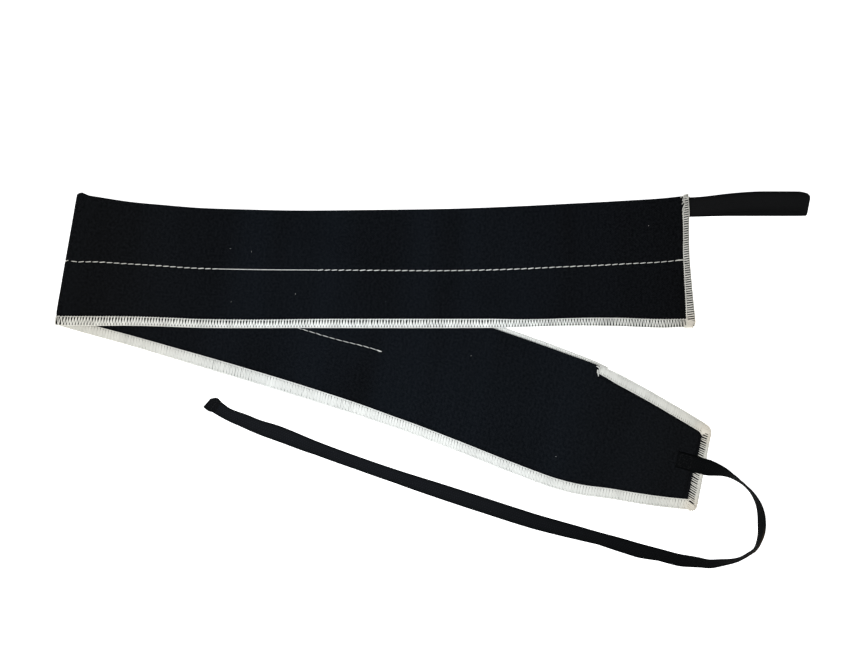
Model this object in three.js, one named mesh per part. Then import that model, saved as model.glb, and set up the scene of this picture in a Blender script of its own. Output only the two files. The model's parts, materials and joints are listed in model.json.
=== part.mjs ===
import * as THREE from 'three';

// Wrist wrap for lifting, lying flat. Millimetres, +Z up, the floor is z = 0.
// The doubled cloth strip runs left from its square end, turns under at a fold
// and comes back below itself as the lower run, which ends in a tapered tip.
// Plan positions are taken from the middle of the fold line, +X to the right.

// Cloth strip
const bandWidth = 76.2;
const topRunLength = 364.2;
const lowerRunLength = 391.1;
const clothThickness = 2.4;
const pressedThickness = 0.8;
const layerGap = 0.3;

// Directions in plan, in degrees from +X
const topRunAngle = 0;
const lowerRunAngle = -18;
const foldLineAngle = 80;
const squareEndAngle = 92.6;
const tipEdgeAngle = 76.6;

// Left fold and the places where the top run climbs over something
const foldRadius = 2.35;
const foldSettleLength = 50;
const rampMargin = 6;
const rampLength = 22;
const cornerLiftLength = 24;
const cornerLiftWidth = 19;
const cornerLiftFade = 22;

// Thread edging
const edgingWidth = 6;
const squareEdgingWidth = 4.4;
const edgingWall = 0.5;
const edgingGap = 0.3;
const edgingShoulder = 0.6;
const pressedStep = 1;
const taperLead = 3;
const tipPlainCorner = 4.5;
const tipSewnCorner = 3;

// Tapes
const tapeThickness = 1;
const tapeChamfer = 0.25;
const loopTapeWidth = 11.5;
const loopLength = 70;
const loopHeight = 9;
const loopTailLength = 14;
const loopFromCorner = 6.8;
const loopPlyShift = 1.6;
const loopShiftLength = 31.5;
const loopEndSlant = 0.19;
const loopHollowMargin = 0.1;
const tieWidth = 9.6;
const anchorLength = 16.7;
const anchorAngle = -11.5;
const anchorFromCorner = 21.9;
const anchorOverhang = 1;
const hemLength = 5.4;

// Edges of each run: along is a share of the run's length from the fold,
// plain and sewn are shares of the band's width from the run's own axis.
const topEdges = [
  { along: 0, plain: 0.515, sewn: -0.507 },
  { along: 0.05, plain: 0.472, sewn: -0.507 },
  { along: 0.1, plain: 0.441, sewn: -0.507 },
  { along: 0.15, plain: 0.419, sewn: -0.51 },
  { along: 0.21, plain: 0.396, sewn: -0.518 },
  { along: 0.28, plain: 0.381, sewn: -0.528 },
  { along: 0.37, plain: 0.373, sewn: -0.53 },
  { along: 0.5, plain: 0.381, sewn: -0.53 },
  { along: 0.62, plain: 0.391, sewn: -0.529 },
  { along: 0.72, plain: 0.409, sewn: -0.518 },
  { along: 0.8, plain: 0.428, sewn: -0.512 },
  { along: 0.88, plain: 0.448, sewn: -0.513 },
  { along: 0.95, plain: 0.467, sewn: -0.517 },
  { along: 1, plain: 0.493, sewn: -0.511 },
];
const lowerEdges = [
  { along: 0, plain: 0.507, sewn: -0.507 },
  { along: 0.05, plain: 0.507, sewn: -0.499 },
  { along: 0.14, plain: 0.509, sewn: -0.48 },
  { along: 0.24, plain: 0.513, sewn: -0.47 },
  { along: 0.39, plain: 0.518, sewn: -0.455 },
  { along: 0.55, plain: 0.514, sewn: -0.455 },
  { along: 0.64, plain: 0.505, sewn: -0.477 },
  { along: 0.71, plain: 0.501, sewn: -0.5 },
  { along: 0.76, plain: 0.492, sewn: -0.514 },
  { along: 0.8, plain: 0.49, sewn: -0.519 },
  { along: 0.84, plain: 0.464, sewn: -0.503 },
  { along: 0.88, plain: 0.427, sewn: -0.465 },
  { along: 0.92, plain: 0.384, sewn: -0.435 },
  { along: 0.96, plain: 0.338, sewn: -0.399 },
  { along: 1, plain: 0.29, sewn: -0.352 },
];
const taperStart = 0.8;

// Rounding of the strip's folded edge, in shares of half the cloth's thickness.
const foldedEdge = [
  { inward: 0, lift: 0.25 },
  { inward: 0.3, lift: 0.7 },
  { inward: 1, lift: 1 },
];

// Side view of the thumb loop's outer face, from its mouth over the crown and
// round the far bend to the floor: shares of the loop's length and height.
const loopCrown = [
  { along: 0.12, height: 0.3 },
  { along: 0.2, height: 0.5 },
  { along: 0.3, height: 0.74 },
  { along: 0.42, height: 0.9 },
  { along: 0.58, height: 0.99 },
  { along: 0.74, height: 1 },
  { along: 0.87, height: 0.91 },
  { along: 0.96, height: 0.69 },
  { along: 1, height: 0.42 },
  { along: 0.975, height: 0.15 },
  { along: 0.92, height: 0 },
];

// Free tie tape, from its exit over the tip edge: plan place from the exit, how
// far its lower edge is off the floor, and how far it leans up on that edge.
const tieRoute = [
  { x: 0, y: 0, clear: 2.7, lean: 0 },
  { x: 4.4, y: -0.9, clear: 2.3, lean: 25 },
  { x: 10.3, y: -2.5, clear: 1.2, lean: 48 },
  { x: 16.1, y: -4.9, clear: 0.4, lean: 66 },
  { x: 21.4, y: -9.2, clear: 0, lean: 77 },
  { x: 27.5, y: -14.9, clear: 0, lean: 76 },
  { x: 30.8, y: -20.4, clear: 0, lean: 70 },
  { x: 33, y: -26.8, clear: 0, lean: 65 },
  { x: 33.6, y: -34.5, clear: 0, lean: 63 },
  { x: 33.1, y: -40.1, clear: 0, lean: 66 },
  { x: 32.1, y: -43.8, clear: 0, lean: 71 },
  { x: 29.8, y: -48.1, clear: 0, lean: 76 },
  { x: 25.9, y: -51.1, clear: 0, lean: 77 },
  { x: 19.6, y: -54.5, clear: 0, lean: 75 },
  { x: 12, y: -56, clear: 0, lean: 66 },
  { x: 0.9, y: -56.7, clear: 0, lean: 57 },
  { x: -8.5, y: -55.7, clear: 0, lean: 49 },
  { x: -14.4, y: -54.7, clear: 0, lean: 45 },
  { x: -26.1, y: -52, clear: 0, lean: 39 },
  { x: -49.5, y: -45.9, clear: 0, lean: 37 },
  { x: -61.2, y: -42.4, clear: 0, lean: 42 },
  { x: -84.7, y: -35.9, clear: 0, lean: 35 },
  { x: -108.1, y: -29.2, clear: 0, lean: 28 },
  { x: -131.6, y: -21.6, clear: 0, lean: 28 },
  { x: -143.3, y: -17.8, clear: 0, lean: 24 },
  { x: -166.7, y: -10.1, clear: 0, lean: 31 },
  { x: -178.4, y: -6.3, clear: 0, lean: 36 },
  { x: -201.9, y: 1.9, clear: 0, lean: 37 },
  { x: -225.3, y: 10.1, clear: 0, lean: 36 },
  { x: -237, y: 14.5, clear: 0, lean: 26 },
  { x: -260.5, y: 23.3, clear: 0, lean: 31 },
  { x: -272.2, y: 28, clear: 0, lean: 32 },
  { x: -282.8, y: 33.2, clear: 0, lean: 28 },
  { x: -285.4, y: 34.8, clear: 0, lean: 26 },
];

// Mesh fineness
const innerCells = 8;
const foldCells = 6;
const plainCornerCells = 4;
const sewnCornerCells = 2;
const tipCells = 3;
const runStep = 10.5;
const nearFoldStep = 7;
const crownSteps = 42;
const tieSteps = 64;
const endGap = 0.3;

const halfCloth = clothThickness / 2;
const halfPressed = pressedThickness / 2;
const clothInset = edgingWall + edgingGap;
const radians = THREE.MathUtils.degToRad;
const blend = THREE.MathUtils.lerp;
const ease = (value) => THREE.MathUtils.smoothstep(value, 0, 1);

// Smooth reading of one column of a table whose rows are ordered by along.
function readTable(rows, column, along) {
  const last = rows.length - 1;
  const inside = THREE.MathUtils.clamp(along, rows[0].along, rows[last].along);
  const next = Math.max(1, rows.findIndex((row) => row.along >= inside));
  const [before, from, to, after] = [next - 2, next - 1, next, next + 1].map((index) => {
    return rows[THREE.MathUtils.clamp(index, 0, last)];
  });
  const span = to.along - from.along;
  const share = (inside - from.along) / span;
  const slope = (low, high) => (high[column] - low[column]) / (high.along - low.along);
  const startSlope = before === from ? slope(from, to) : slope(before, to);
  const endSlope = after === to ? slope(from, to) : slope(from, after);
  const start = from[column] * (1 + 2 * share) + startSlope * span * share;
  const end = to[column] * (3 - 2 * share) - endSlope * span * (1 - share);
  return start * (1 - share) ** 2 + end * share ** 2;
}

// A run of the strip. Its rows cross it at a slant that goes from the fold
// line's direction to the direction of its far end.
function makeRun(length, angle, edges, endAngle) {
  const slantOf = (rowAngle) => Math.tan(radians(angle + 90 - rowAngle));
  return {
    length,
    edges,
    foldSlant: slantOf(foldLineAngle),
    endSlant: slantOf(endAngle),
    place: (along, off) => new THREE.Vector2(along, off).rotateAround(new THREE.Vector2(), radians(angle)),
    locate: (flat) => flat.clone().rotateAround(new THREE.Vector2(), radians(-angle)),
  };
}

const topRun = makeRun(topRunLength, topRunAngle, topEdges, squareEndAngle);
const lowerRun = makeRun(lowerRunLength, lowerRunAngle, lowerEdges, tipEdgeAngle);

// Where the row through one point of a run's axis meets one of its edges.
function edgePoint(run, centre, edge) {
  const slant = blend(run.foldSlant, run.endSlant, centre / run.length);
  const passes = 4;
  let off = 0;
  for (let pass = 0; pass < passes; pass += 1) {
    off = readTable(run.edges, edge, (centre + off * slant) / run.length) * bandWidth;
  }
  return run.place(centre + off * slant, off);
}

function rowOn(run, centre) {
  return { plain: edgePoint(run, centre, 'plain'), sewn: edgePoint(run, centre, 'sewn') };
}

const across = (row, fromPlain) => {
  return row.plain.clone().lerp(row.sewn, fromPlain / row.plain.distanceTo(row.sewn));
};

const foldNormal = new THREE.Vector2(1, 0).rotateAround(new THREE.Vector2(), radians(foldLineAngle - 90));
const foldAxis = (foldRadius + halfCloth) / foldNormal.x;
const squareEnd = rowOn(topRun, topRunLength);
const squareInward = new THREE.Vector2(-1, 0);
const loopUnder = 2 * tapeThickness + layerGap;

// Height of the top run's underside over the floor: on the lower run, up to
// the left fold, down a ramp past the lower run's plain edge, and over the
// thumb loop's tails at the square end.
function topUnderside(flat) {
  const onLower = lowerRun.locate(flat);
  const lowerEdge = readTable(lowerEdges, 'plain', onLower.x / lowerRunLength) * bandWidth;
  const beyond = ease((onLower.y - lowerEdge - rampMargin) / rampLength);
  const layers = clothThickness + layerGap;
  const fromFold = flat.dot(foldNormal) - foldRadius - halfCloth;
  const settled = ease(fromFold / foldSettleLength);
  const overLower = blend(2 * foldRadius, layers, settled) * (1 - beyond);
  const fromCorner = flat.clone().sub(squareEnd.plain);
  const inEnd = ease((fromCorner.dot(squareInward) - cornerLiftLength) / cornerLiftFade);
  const inSide = ease((-fromCorner.y - cornerLiftWidth) / cornerLiftFade);
  return Math.max(overLower, loopUnder * (1 - inEnd) * (1 - inSide));
}

// The cloth's middle surface, moved by lift along the side that faces up on
// the top run. turn goes from 0 on the top run to pi on the lower run.
function clothPoint(flat, turn, lift) {
  const reach = (foldRadius + lift) * Math.sin(turn);
  const foldHeight = halfCloth + foldRadius + (foldRadius + lift) * Math.cos(turn);
  const height = turn === 0 ? topUnderside(flat) + halfCloth + lift : foldHeight;
  return new THREE.Vector3(flat.x - foldNormal.x * reach, flat.y - foldNormal.y * reach, height);
}

function makeGeometry(points, faces) {
  const volume = faces.reduce((sum, [a, b, c]) => {
    return sum + points[a].dot(points[b].clone().cross(points[c]));
  }, 0);
  const outward = volume > 0 ? faces : faces.map(([a, b, c]) => [a, c, b]);
  const geometry = new THREE.BufferGeometry().setFromPoints(points);
  geometry.setIndex(outward.flat());
  geometry.computeVertexNormals();
  return geometry;
}

// Two faces of a sheet on one grid of rows and columns, closed all round.
function closedSheet(upper, lower) {
  const columns = upper[0].length;
  const points = [...upper.flat(), ...lower.flat()];
  const underside = upper.length * columns;
  const faces = [];
  const quad = (a, b, c, d) => faces.push([a, b, c], [a, c, d]);
  for (let row = 0; row + 1 < upper.length; row += 1) {
    const here = row * columns;
    const there = here + columns;
    for (let column = 0; column + 1 < columns; column += 1) {
      const [a, b, c, d] = [here + column, there + column, there + column + 1, here + column + 1];
      quad(a, b, c, d);
      quad(underside + a, underside + d, underside + c, underside + b);
    }
    const end = columns - 1;
    quad(here, underside + here, underside + there, there);
    quad(here + end, there + end, underside + there + end, underside + here + end);
  }
  const lastRow = (upper.length - 1) * columns;
  for (let column = 0; column + 1 < columns; column += 1) {
    quad(column, column + 1, underside + column + 1, underside + column);
    const [c, d] = [lastRow + column, lastRow + column + 1];
    quad(d, c, underside + c, underside + d);
  }
  return makeGeometry(points, faces);
}

// Rings of equal section joined in order, with flat ends. Each side is split
// the way the sheet's cells are, so that the two stay clear where both twist.
function closedRings(rings, outline) {
  const count = outline.length;
  const faces = [];
  for (let ring = 0; ring + 1 < rings.length; ring += 1) {
    for (let side = 0; side < count; side += 1) {
      const next = (side + 1) % count;
      const [a, b] = [ring * count + side, ring * count + next];
      const [c, d] = [b + count, a + count];
      const goesOutward = outline[side].x >= outline[next].x;
      if (goesOutward) faces.push([a, b, c], [a, c, d]);
      else faces.push([a, b, d], [b, c, d]);
    }
  }
  const lastRing = (rings.length - 1) * count;
  const turned = THREE.ShapeUtils.isClockWise(outline);
  THREE.ShapeUtils.triangulateShape(outline, []).forEach(([a, b, c]) => {
    const [first, second] = turned ? [b, c] : [c, b];
    faces.push([a, first, second], [lastRing + a, lastRing + second, lastRing + first]);
  });
  return makeGeometry(rings.flat(), faces);
}

function stationsBetween(from, to, step) {
  const cells = Math.ceil(Math.abs(to - from) / step);
  return Array.from({ length: cells }, (_, index) => blend(from, to, (index + 1) / cells));
}

function endDepths(width) {
  const midDepth = (clothInset + tipSewnCorner) / 2;
  return [clothInset, midDepth, width + edgingGap, width + edgingGap + pressedStep];
}

// Rows of the strip, from the square end round the fold to the tip. depth is
// the distance from the nearer end, and pressed rows lie under its edging.
function bandRows() {
  const rows = [];
  const push = (run, centre, turn) => {
    rows.push({ ...rowOn(run, centre), turn, centre, depth: run.length - centre });
  };
  const squareDepths = endDepths(squareEdgingWidth);
  const squareInner = topRunLength - squareDepths.at(-1);
  squareDepths.forEach((depth) => push(topRun, topRunLength - depth, 0));
  stationsBetween(squareInner, foldSettleLength, runStep).forEach((centre) => push(topRun, centre, 0));
  stationsBetween(foldSettleLength, foldAxis, nearFoldStep).forEach((centre) => push(topRun, centre, 0));
  const above = rowOn(topRun, foldAxis);
  const below = rowOn(lowerRun, foldAxis);
  for (let cell = 1; cell < foldCells; cell += 1) {
    const share = cell / foldCells;
    const plain = above.plain.clone().lerp(below.plain, share);
    const sewn = above.sewn.clone().lerp(below.sewn, share);
    rows.push({ plain, sewn, turn: share * Math.PI, centre: 0, depth: lowerRunLength });
  }
  push(lowerRun, foldAxis, Math.PI);
  const taperCentre = taperStart * lowerRunLength;
  const tipDepths = endDepths(edgingWidth).reverse();
  const tipInner = lowerRunLength - tipDepths[0];
  const beforeTaper = taperCentre - taperLead;
  stationsBetween(foldAxis, beforeTaper, runStep).forEach((centre) => push(lowerRun, centre, Math.PI));
  push(lowerRun, taperCentre, Math.PI);
  stationsBetween(taperCentre, tipInner, runStep).forEach((centre) => push(lowerRun, centre, Math.PI));
  tipDepths.slice(1).forEach((depth) => push(lowerRun, lowerRunLength - depth, Math.PI));
  return rows;
}

const rows = bandRows();
const isTapered = (row) => row.turn === Math.PI && row.centre >= taperStart * lowerRunLength;

// Distance of the cloth's raw edge from the edging's outline, in a corner that
// the edging rounds off.
function rawEdge(depth, corner) {
  if (depth >= corner) return clothInset;
  return corner - Math.sqrt(Math.max((corner - clothInset) ** 2 - (corner - depth) ** 2, 0));
}

function bandColumns(row) {
  const width = row.plain.distanceTo(row.sewn);
  const pressedTo = edgingWidth + edgingGap;
  const onLower = row.turn === Math.PI;
  const sewnEdge = rawEdge(row.depth, onLower ? tipSewnCorner : clothInset);
  const taperedSide = [
    [rawEdge(row.depth, tipPlainCorner), halfPressed],
    [pressedTo, halfPressed],
    [pressedTo + pressedStep, halfCloth],
  ];
  const plainSide = isTapered(row)
    ? taperedSide
    : foldedEdge.map(({ inward, lift }) => [inward * halfCloth, lift * halfCloth]);
  const sewnSide = [
    [width - pressedTo - pressedStep, halfCloth],
    [width - pressedTo, halfPressed],
    [width - sewnEdge, halfPressed],
  ];
  const columns = [...plainSide];
  for (let cell = 1; cell < innerCells; cell += 1) {
    columns.push([blend(plainSide[2][0], sewnSide[0][0], cell / innerCells), halfCloth]);
  }
  columns.push(...sewnSide);
  const endEdging = onLower ? edgingWidth : squareEdgingWidth;
  const limit = row.depth < endEdging + edgingGap + pressedStep / 2 ? halfPressed : halfCloth;
  return columns.map(([fromPlain, lift]) => ({ flat: across(row, fromPlain), lift: Math.min(lift, limit) }));
}

function makeBand() {
  const face = (sign) => rows.map((row) => {
    return bandColumns(row).map(({ flat, lift }) => clothPoint(flat, row.turn, sign * lift));
  });
  return closedSheet(face(1), face(-1));
}

// Section of the thread edging: inward from its outline, and lift off the
// cloth's middle surface.
function edgingSection(width) {
  const inner = halfCloth - edgingWall;
  const half = [
    [width, halfCloth],
    [edgingShoulder, halfCloth],
    [0, halfCloth / 2],
  ];
  const hollow = [
    [width, -inner],
    [edgingWall, -inner],
    [edgingWall, inner],
    [width, inner],
  ];
  const mirrored = half.map(([inward, lift]) => [inward, -lift]).reverse();
  return [...half, ...mirrored, ...hollow];
}

function makeEdging(stations, width) {
  const section = edgingSection(width);
  const rings = stations.map(({ outer, inner, turn }) => section.map(([inward, lift]) => {
    return clothPoint(outer.clone().lerp(inner, inward / width), turn, lift);
  }));
  return closedRings(rings, section.map(([inward, lift]) => new THREE.Vector2(inward, lift)));
}

function makeLongEdging() {
  const covered = rows.filter((row) => {
    const endEdging = row.turn === Math.PI ? edgingWidth : squareEdgingWidth;
    return row.depth > endEdging;
  });
  return makeEdging(covered.map((row) => {
    const width = row.plain.distanceTo(row.sewn);
    return { outer: row.sewn, inner: across(row, width - edgingWidth), turn: row.turn };
  }), edgingWidth);
}

function makeSquareEdging() {
  const inner = rowOn(topRun, topRunLength - squareEdgingWidth);
  const outerWidth = squareEnd.plain.distanceTo(squareEnd.sewn);
  const innerWidth = inner.plain.distanceTo(inner.sewn);
  const places = bandColumns(rows[0]).map(({ flat }) => flat.distanceTo(rows[0].plain));
  const shares = [0, ...places.slice(2, -1).map((place) => place / outerWidth), 1];
  return makeEdging(shares.map((share) => ({
    outer: across(squareEnd, share * outerWidth),
    inner: across(inner, share * innerWidth),
    turn: 0,
  })), squareEdgingWidth);
}

// Point of the lower run at a depth from the tip edge, from either side.
function nearTip(depth, fromPlain, fromSewn) {
  const row = rowOn(lowerRun, lowerRunLength - depth);
  const distance = fromPlain ?? row.plain.distanceTo(row.sewn) - fromSewn;
  return across(row, distance);
}

function makeTipEdging() {
  const taper = rows.filter((row) => isTapered(row) && row.depth > edgingWidth);
  const stations = [];
  const push = (outer, inner) => stations.push({ outer, inner, turn: Math.PI });
  taper.forEach((row) => push(row.plain, across(row, edgingWidth)));
  for (let cell = 0; cell <= plainCornerCells; cell += 1) {
    const turned = (cell / plainCornerCells) * (Math.PI / 2);
    const depth = tipPlainCorner * (1 - Math.sin(turned));
    const fromPlain = tipPlainCorner * (1 - Math.cos(turned));
    const spread = (edgingGap / 2) * (1 - (2 * cell) / plainCornerCells);
    const innerDepth = edgingWidth + Math.max(spread, 0);
    push(nearTip(depth, fromPlain), nearTip(innerDepth, edgingWidth + Math.max(-spread, 0)));
  }
  const width = rowOn(lowerRun, lowerRunLength).plain.distanceTo(rowOn(lowerRun, lowerRunLength).sewn);
  for (let cell = 1; cell < tipCells; cell += 1) {
    const place = blend(edgingWidth, width - edgingWidth, cell / tipCells);
    push(nearTip(0, place), nearTip(edgingWidth, place));
  }
  for (let cell = 0; cell <= sewnCornerCells; cell += 1) {
    const turned = (cell / sewnCornerCells) * (Math.PI / 2);
    const depth = tipSewnCorner * (1 - Math.cos(turned));
    const fromSewn = tipSewnCorner * (1 - Math.sin(turned));
    push(nearTip(depth, undefined, fromSewn), nearTip(edgingWidth, undefined, fromSewn));
  }
  return makeEdging(stations, edgingWidth);
}

// Thumb loop: one tape laid double, its tails sewn together under the cloth,
// extruded across its width and then slanted at the far bend.
function makeThumbLoop() {
  const knots = loopCrown.map(({ along, height }) => {
    return new THREE.Vector2(along * loopLength, height * loopHeight);
  });
  const mouth = new THREE.Vector2(tapeThickness * 2, 2 * tapeThickness);
  const crown = new THREE.SplineCurve([mouth, ...knots]);
  const outer = crown.getSpacedPoints(crownSteps);
  const inner = outer.map((point, index) => {
    const tangent = crown.getTangentAt(index / crownSteps);
    return point.clone().add(new THREE.Vector2(tangent.y, -tangent.x).multiplyScalar(tapeThickness));
  }).filter((point) => point.y > tapeThickness + loopHollowMargin && point.x > mouth.x);
  const outline = new THREE.Shape([
    ...outer.reverse(),
    new THREE.Vector2(-loopTailLength, 2 * tapeThickness),
    new THREE.Vector2(-loopTailLength, 0),
  ]);
  const hollowEnd = new THREE.Vector2(inner.at(-1).x - tapeThickness, tapeThickness);
  const hollowStart = new THREE.Vector2(inner[0].x, tapeThickness);
  outline.holes.push(new THREE.Path([hollowStart, ...inner, hollowEnd]));
  const geometry = new THREE.ExtrudeGeometry(outline, { depth: loopTapeWidth, bevelEnabled: false });
  geometry.rotateX(Math.PI / 2).translate(0, loopTapeWidth / 2, 0);
  const place = geometry.getAttribute('position');
  for (let index = 0; index < place.count; index += 1) {
    const [x, y, z] = [place.getX(index), place.getY(index), place.getZ(index)];
    const out = ease(x / loopShiftLength);
    place.setY(index, y + loopPlyShift * out * (z / loopHeight));
    place.setX(index, x + loopEndSlant * y * ease(x / loopLength));
  }
  return geometry;
}

// Route of a flat tape: its section keeps to a lean that the route gives, so
// its lower edge stays the stated distance off the floor.
class TapeRoute extends THREE.Curve {
  constructor(points, thickness) {
    super();
    this.points = points;
    this.thickness = thickness;
    this.plan = new THREE.CatmullRomCurve3(points.map(({ x, y }) => new THREE.Vector3(x, y, 0)));
  }

  read(t, column) {
    const place = t * (this.points.length - 1);
    const from = Math.min(Math.floor(place), this.points.length - 2);
    return blend(this.points[from][column], this.points[from + 1][column], ease(place - from));
  }

  getPoint(t, target = new THREE.Vector3()) {
    const lean = radians(this.read(t, 'lean'));
    const rise = (tieWidth * Math.sin(lean) + this.thickness * Math.cos(lean)) / 2;
    return target.copy(this.plan.getPoint(t)).setZ(this.read(t, 'clear') + rise);
  }

  computeFrenetFrames(segments) {
    const frames = { tangents: [], normals: [], binormals: [] };
    for (let index = 0; index <= segments; index += 1) {
      const share = index / segments;
      const ahead = this.getTangentAt(share);
      const side = new THREE.Vector3(-ahead.y, ahead.x, 0).normalize();
      const lean = radians(this.read(this.getUtoTmapping(share), 'lean'));
      side.applyAxisAngle(ahead, lean);
      frames.tangents.push(ahead);
      frames.normals.push(side);
      frames.binormals.push(ahead.clone().cross(side));
    }
    return frames;
  }
}

function makeTape(route, thickness, steps) {
  const [halfWidth, half] = [tieWidth / 2, thickness / 2];
  const corner = [
    [halfWidth, half - tapeChamfer],
    [halfWidth - tapeChamfer, half],
  ];
  const left = corner.map(([x, y]) => [-x, y]).reverse();
  const upper = [...corner, ...left];
  const lower = upper.map(([x, y]) => [-x, -y]);
  const section = new THREE.Shape([...upper, ...lower].map(([x, y]) => new THREE.Vector2(x, y)));
  const extrudePath = new TapeRoute(route, thickness);
  return new THREE.ExtrudeGeometry(section, { steps, extrudePath, bevelEnabled: false });
}

const straight = (from, to, clear, lean) => [from, to].map(({ x, y }) => ({ x, y, clear, lean }));

const anchorAhead = new THREE.Vector2(1, 0).rotateAround(new THREE.Vector2(), radians(anchorAngle));
const tieExit = nearTip(0, anchorFromCorner).add(anchorAhead.clone().multiplyScalar(anchorOverhang));

function makeAnchor() {
  const near = tieExit.clone().sub(anchorAhead.clone().multiplyScalar(endGap));
  const far = near.clone().sub(anchorAhead.clone().multiplyScalar(anchorLength));
  return makeTape(straight(far, near, clothThickness + layerGap, 0), tapeThickness, 1);
}

function makeTie() {
  return makeTape(tieRoute, tapeThickness, tieSteps);
}

function makeHem() {
  const [before, end] = tieRoute.slice(-2);
  const ahead = new THREE.Vector2(end.x - before.x, end.y - before.y).normalize();
  const from = new THREE.Vector2(end.x, end.y).addScaledVector(ahead, endGap);
  const to = from.clone().addScaledVector(ahead, hemLength - endGap);
  return makeTape(straight(from, to, 0, end.lean), 2 * tapeThickness, 1);
}

const material = (color, roughness) => new THREE.MeshStandardMaterial({ color, roughness, metalness: 0 });
const blackCloth = () => material(0x14171a, 0.9);
const whiteThread = () => material(0xd8d8d2, 0.85);
const blackTape = () => material(0x151516, 0.8);

function makePart(name, geometry, finish, parent) {
  const mesh = new THREE.Mesh(geometry, finish);
  mesh.name = name;
  parent.add(mesh);
  return mesh;
}

const wrap = new THREE.Group();
makePart('wrap_band', makeBand(), blackCloth(), wrap);
makePart('overlock_long_edge', makeLongEdging(), whiteThread(), wrap);
makePart('overlock_square_end', makeSquareEdging(), whiteThread(), wrap);
makePart('overlock_tip', makeTipEdging(), whiteThread(), wrap);
makePart('tie_anchor', makeAnchor(), blackTape(), wrap);

const loopPlace = across(squareEnd, loopFromCorner);
const thumbLoop = makePart('thumb_loop', makeThumbLoop(), blackTape(), wrap);
thumbLoop.position.set(loopPlace.x, loopPlace.y, 0);

// The origin is the middle of the wrap's footprint, without the free tie.
const footprint = new THREE.Box3().setFromObject(wrap).getCenter(new THREE.Vector3());

const tie = new THREE.Group();
tie.position.set(tieExit.x, tieExit.y, 0);
makePart('tie_tape', makeTie(), blackTape(), tie);
makePart('tie_end_hem', makeHem(), blackTape(), tie);
wrap.add(tie);

wrap.position.set(-footprint.x, -footprint.y, 0);

export default wrap;
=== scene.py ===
import json
import math

import bmesh
import bpy
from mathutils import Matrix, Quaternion, Vector, noise

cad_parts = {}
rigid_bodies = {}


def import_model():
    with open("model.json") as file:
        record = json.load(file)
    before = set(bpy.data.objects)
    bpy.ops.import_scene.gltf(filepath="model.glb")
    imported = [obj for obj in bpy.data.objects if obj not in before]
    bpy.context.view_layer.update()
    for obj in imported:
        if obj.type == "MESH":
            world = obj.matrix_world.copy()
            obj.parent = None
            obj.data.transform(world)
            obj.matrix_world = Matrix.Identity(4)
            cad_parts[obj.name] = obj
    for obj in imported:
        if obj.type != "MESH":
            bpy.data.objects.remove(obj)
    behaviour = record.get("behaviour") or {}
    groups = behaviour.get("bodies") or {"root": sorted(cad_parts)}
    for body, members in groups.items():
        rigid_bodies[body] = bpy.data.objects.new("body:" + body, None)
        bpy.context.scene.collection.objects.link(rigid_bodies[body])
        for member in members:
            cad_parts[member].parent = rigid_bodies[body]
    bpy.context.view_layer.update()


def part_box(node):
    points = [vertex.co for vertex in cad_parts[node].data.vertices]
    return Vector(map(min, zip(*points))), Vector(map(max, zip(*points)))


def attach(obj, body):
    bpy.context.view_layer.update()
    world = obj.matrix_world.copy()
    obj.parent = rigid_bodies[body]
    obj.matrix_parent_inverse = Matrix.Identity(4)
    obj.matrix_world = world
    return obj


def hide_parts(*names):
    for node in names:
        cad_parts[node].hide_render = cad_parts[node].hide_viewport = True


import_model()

mm = 0.001  # the sizes below are in millimetres, Blender's are in metres
mmInCm, metreInCm = 0.1, 100  # UVs are in centimetres

# Camera: straight above, as the photo was taken
view = {
    "middle": (0.0, 0.0131),  # metres
    "widthSeen": 0.507,       # metres across the picture, at the cloth
    "clothHeight": 0.003,
    "lens": 85,
    "sensor": 36,
}


def makeCamera():
    data = bpy.data.cameras.new("camera")
    data.lens = view["lens"]
    data.sensor_width = view["sensor"]
    camera = bpy.data.objects.new("camera", data)
    height = view["widthSeen"] * view["lens"] / view["sensor"] + view["clothHeight"]
    camera.location = (*view["middle"], height)
    bpy.context.scene.collection.objects.link(camera)
    bpy.context.scene.camera = camera


makeCamera()
print("camera done")

# The strip's plan: two straight runs that meet in the left fold
strip = {
    "width": 76.2,
    "topLength": 364.2,
    "lowerLength": 391.1,
    "thickness": 2.4,
    "layerGap": 0.3,
    "lowerAngle": -18,       # degrees in plan, from +X
    "foldLineAngle": 80,
    "squareEndAngle": 92.6,
    "tipEdgeAngle": 76.6,
    "foldRadius": 2.35,
    "foldSettle": 50,
    "rampMargin": 6,
    "rampLength": 22,
    "cornerLiftLength": 24,
    "cornerLiftWidth": 19,
    "cornerLiftFade": 22,
    "edgedFrom": 0.815,      # share of the lower run where the thread edging of the taper starts
    "foldReach": 1.3,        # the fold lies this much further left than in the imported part
    "bump": 1.1,             # the fold's upper corner stands up a little
    "bumpLength": 2.3,
    "rest": 0.3,             # the cloth lies on the thread below it
    "waveHeight": 0.45,      # soft unevenness of the laid cloth
    "broadWaves": (0.018, 0.01, 2.7),   # pace along X and Y, and which pattern
    "smallWaves": (0.045, 0.03, 7.1),
    "waveShares": (0.6, 0.25),          # how much the broad and the small ones count
    "squareFlare": (0.3, 1.2, 14),  # how far the square end's corners stand out, and over which length
    "tipFlare": (0, 2.0, 26),
    "bowLength": 26,
}

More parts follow.
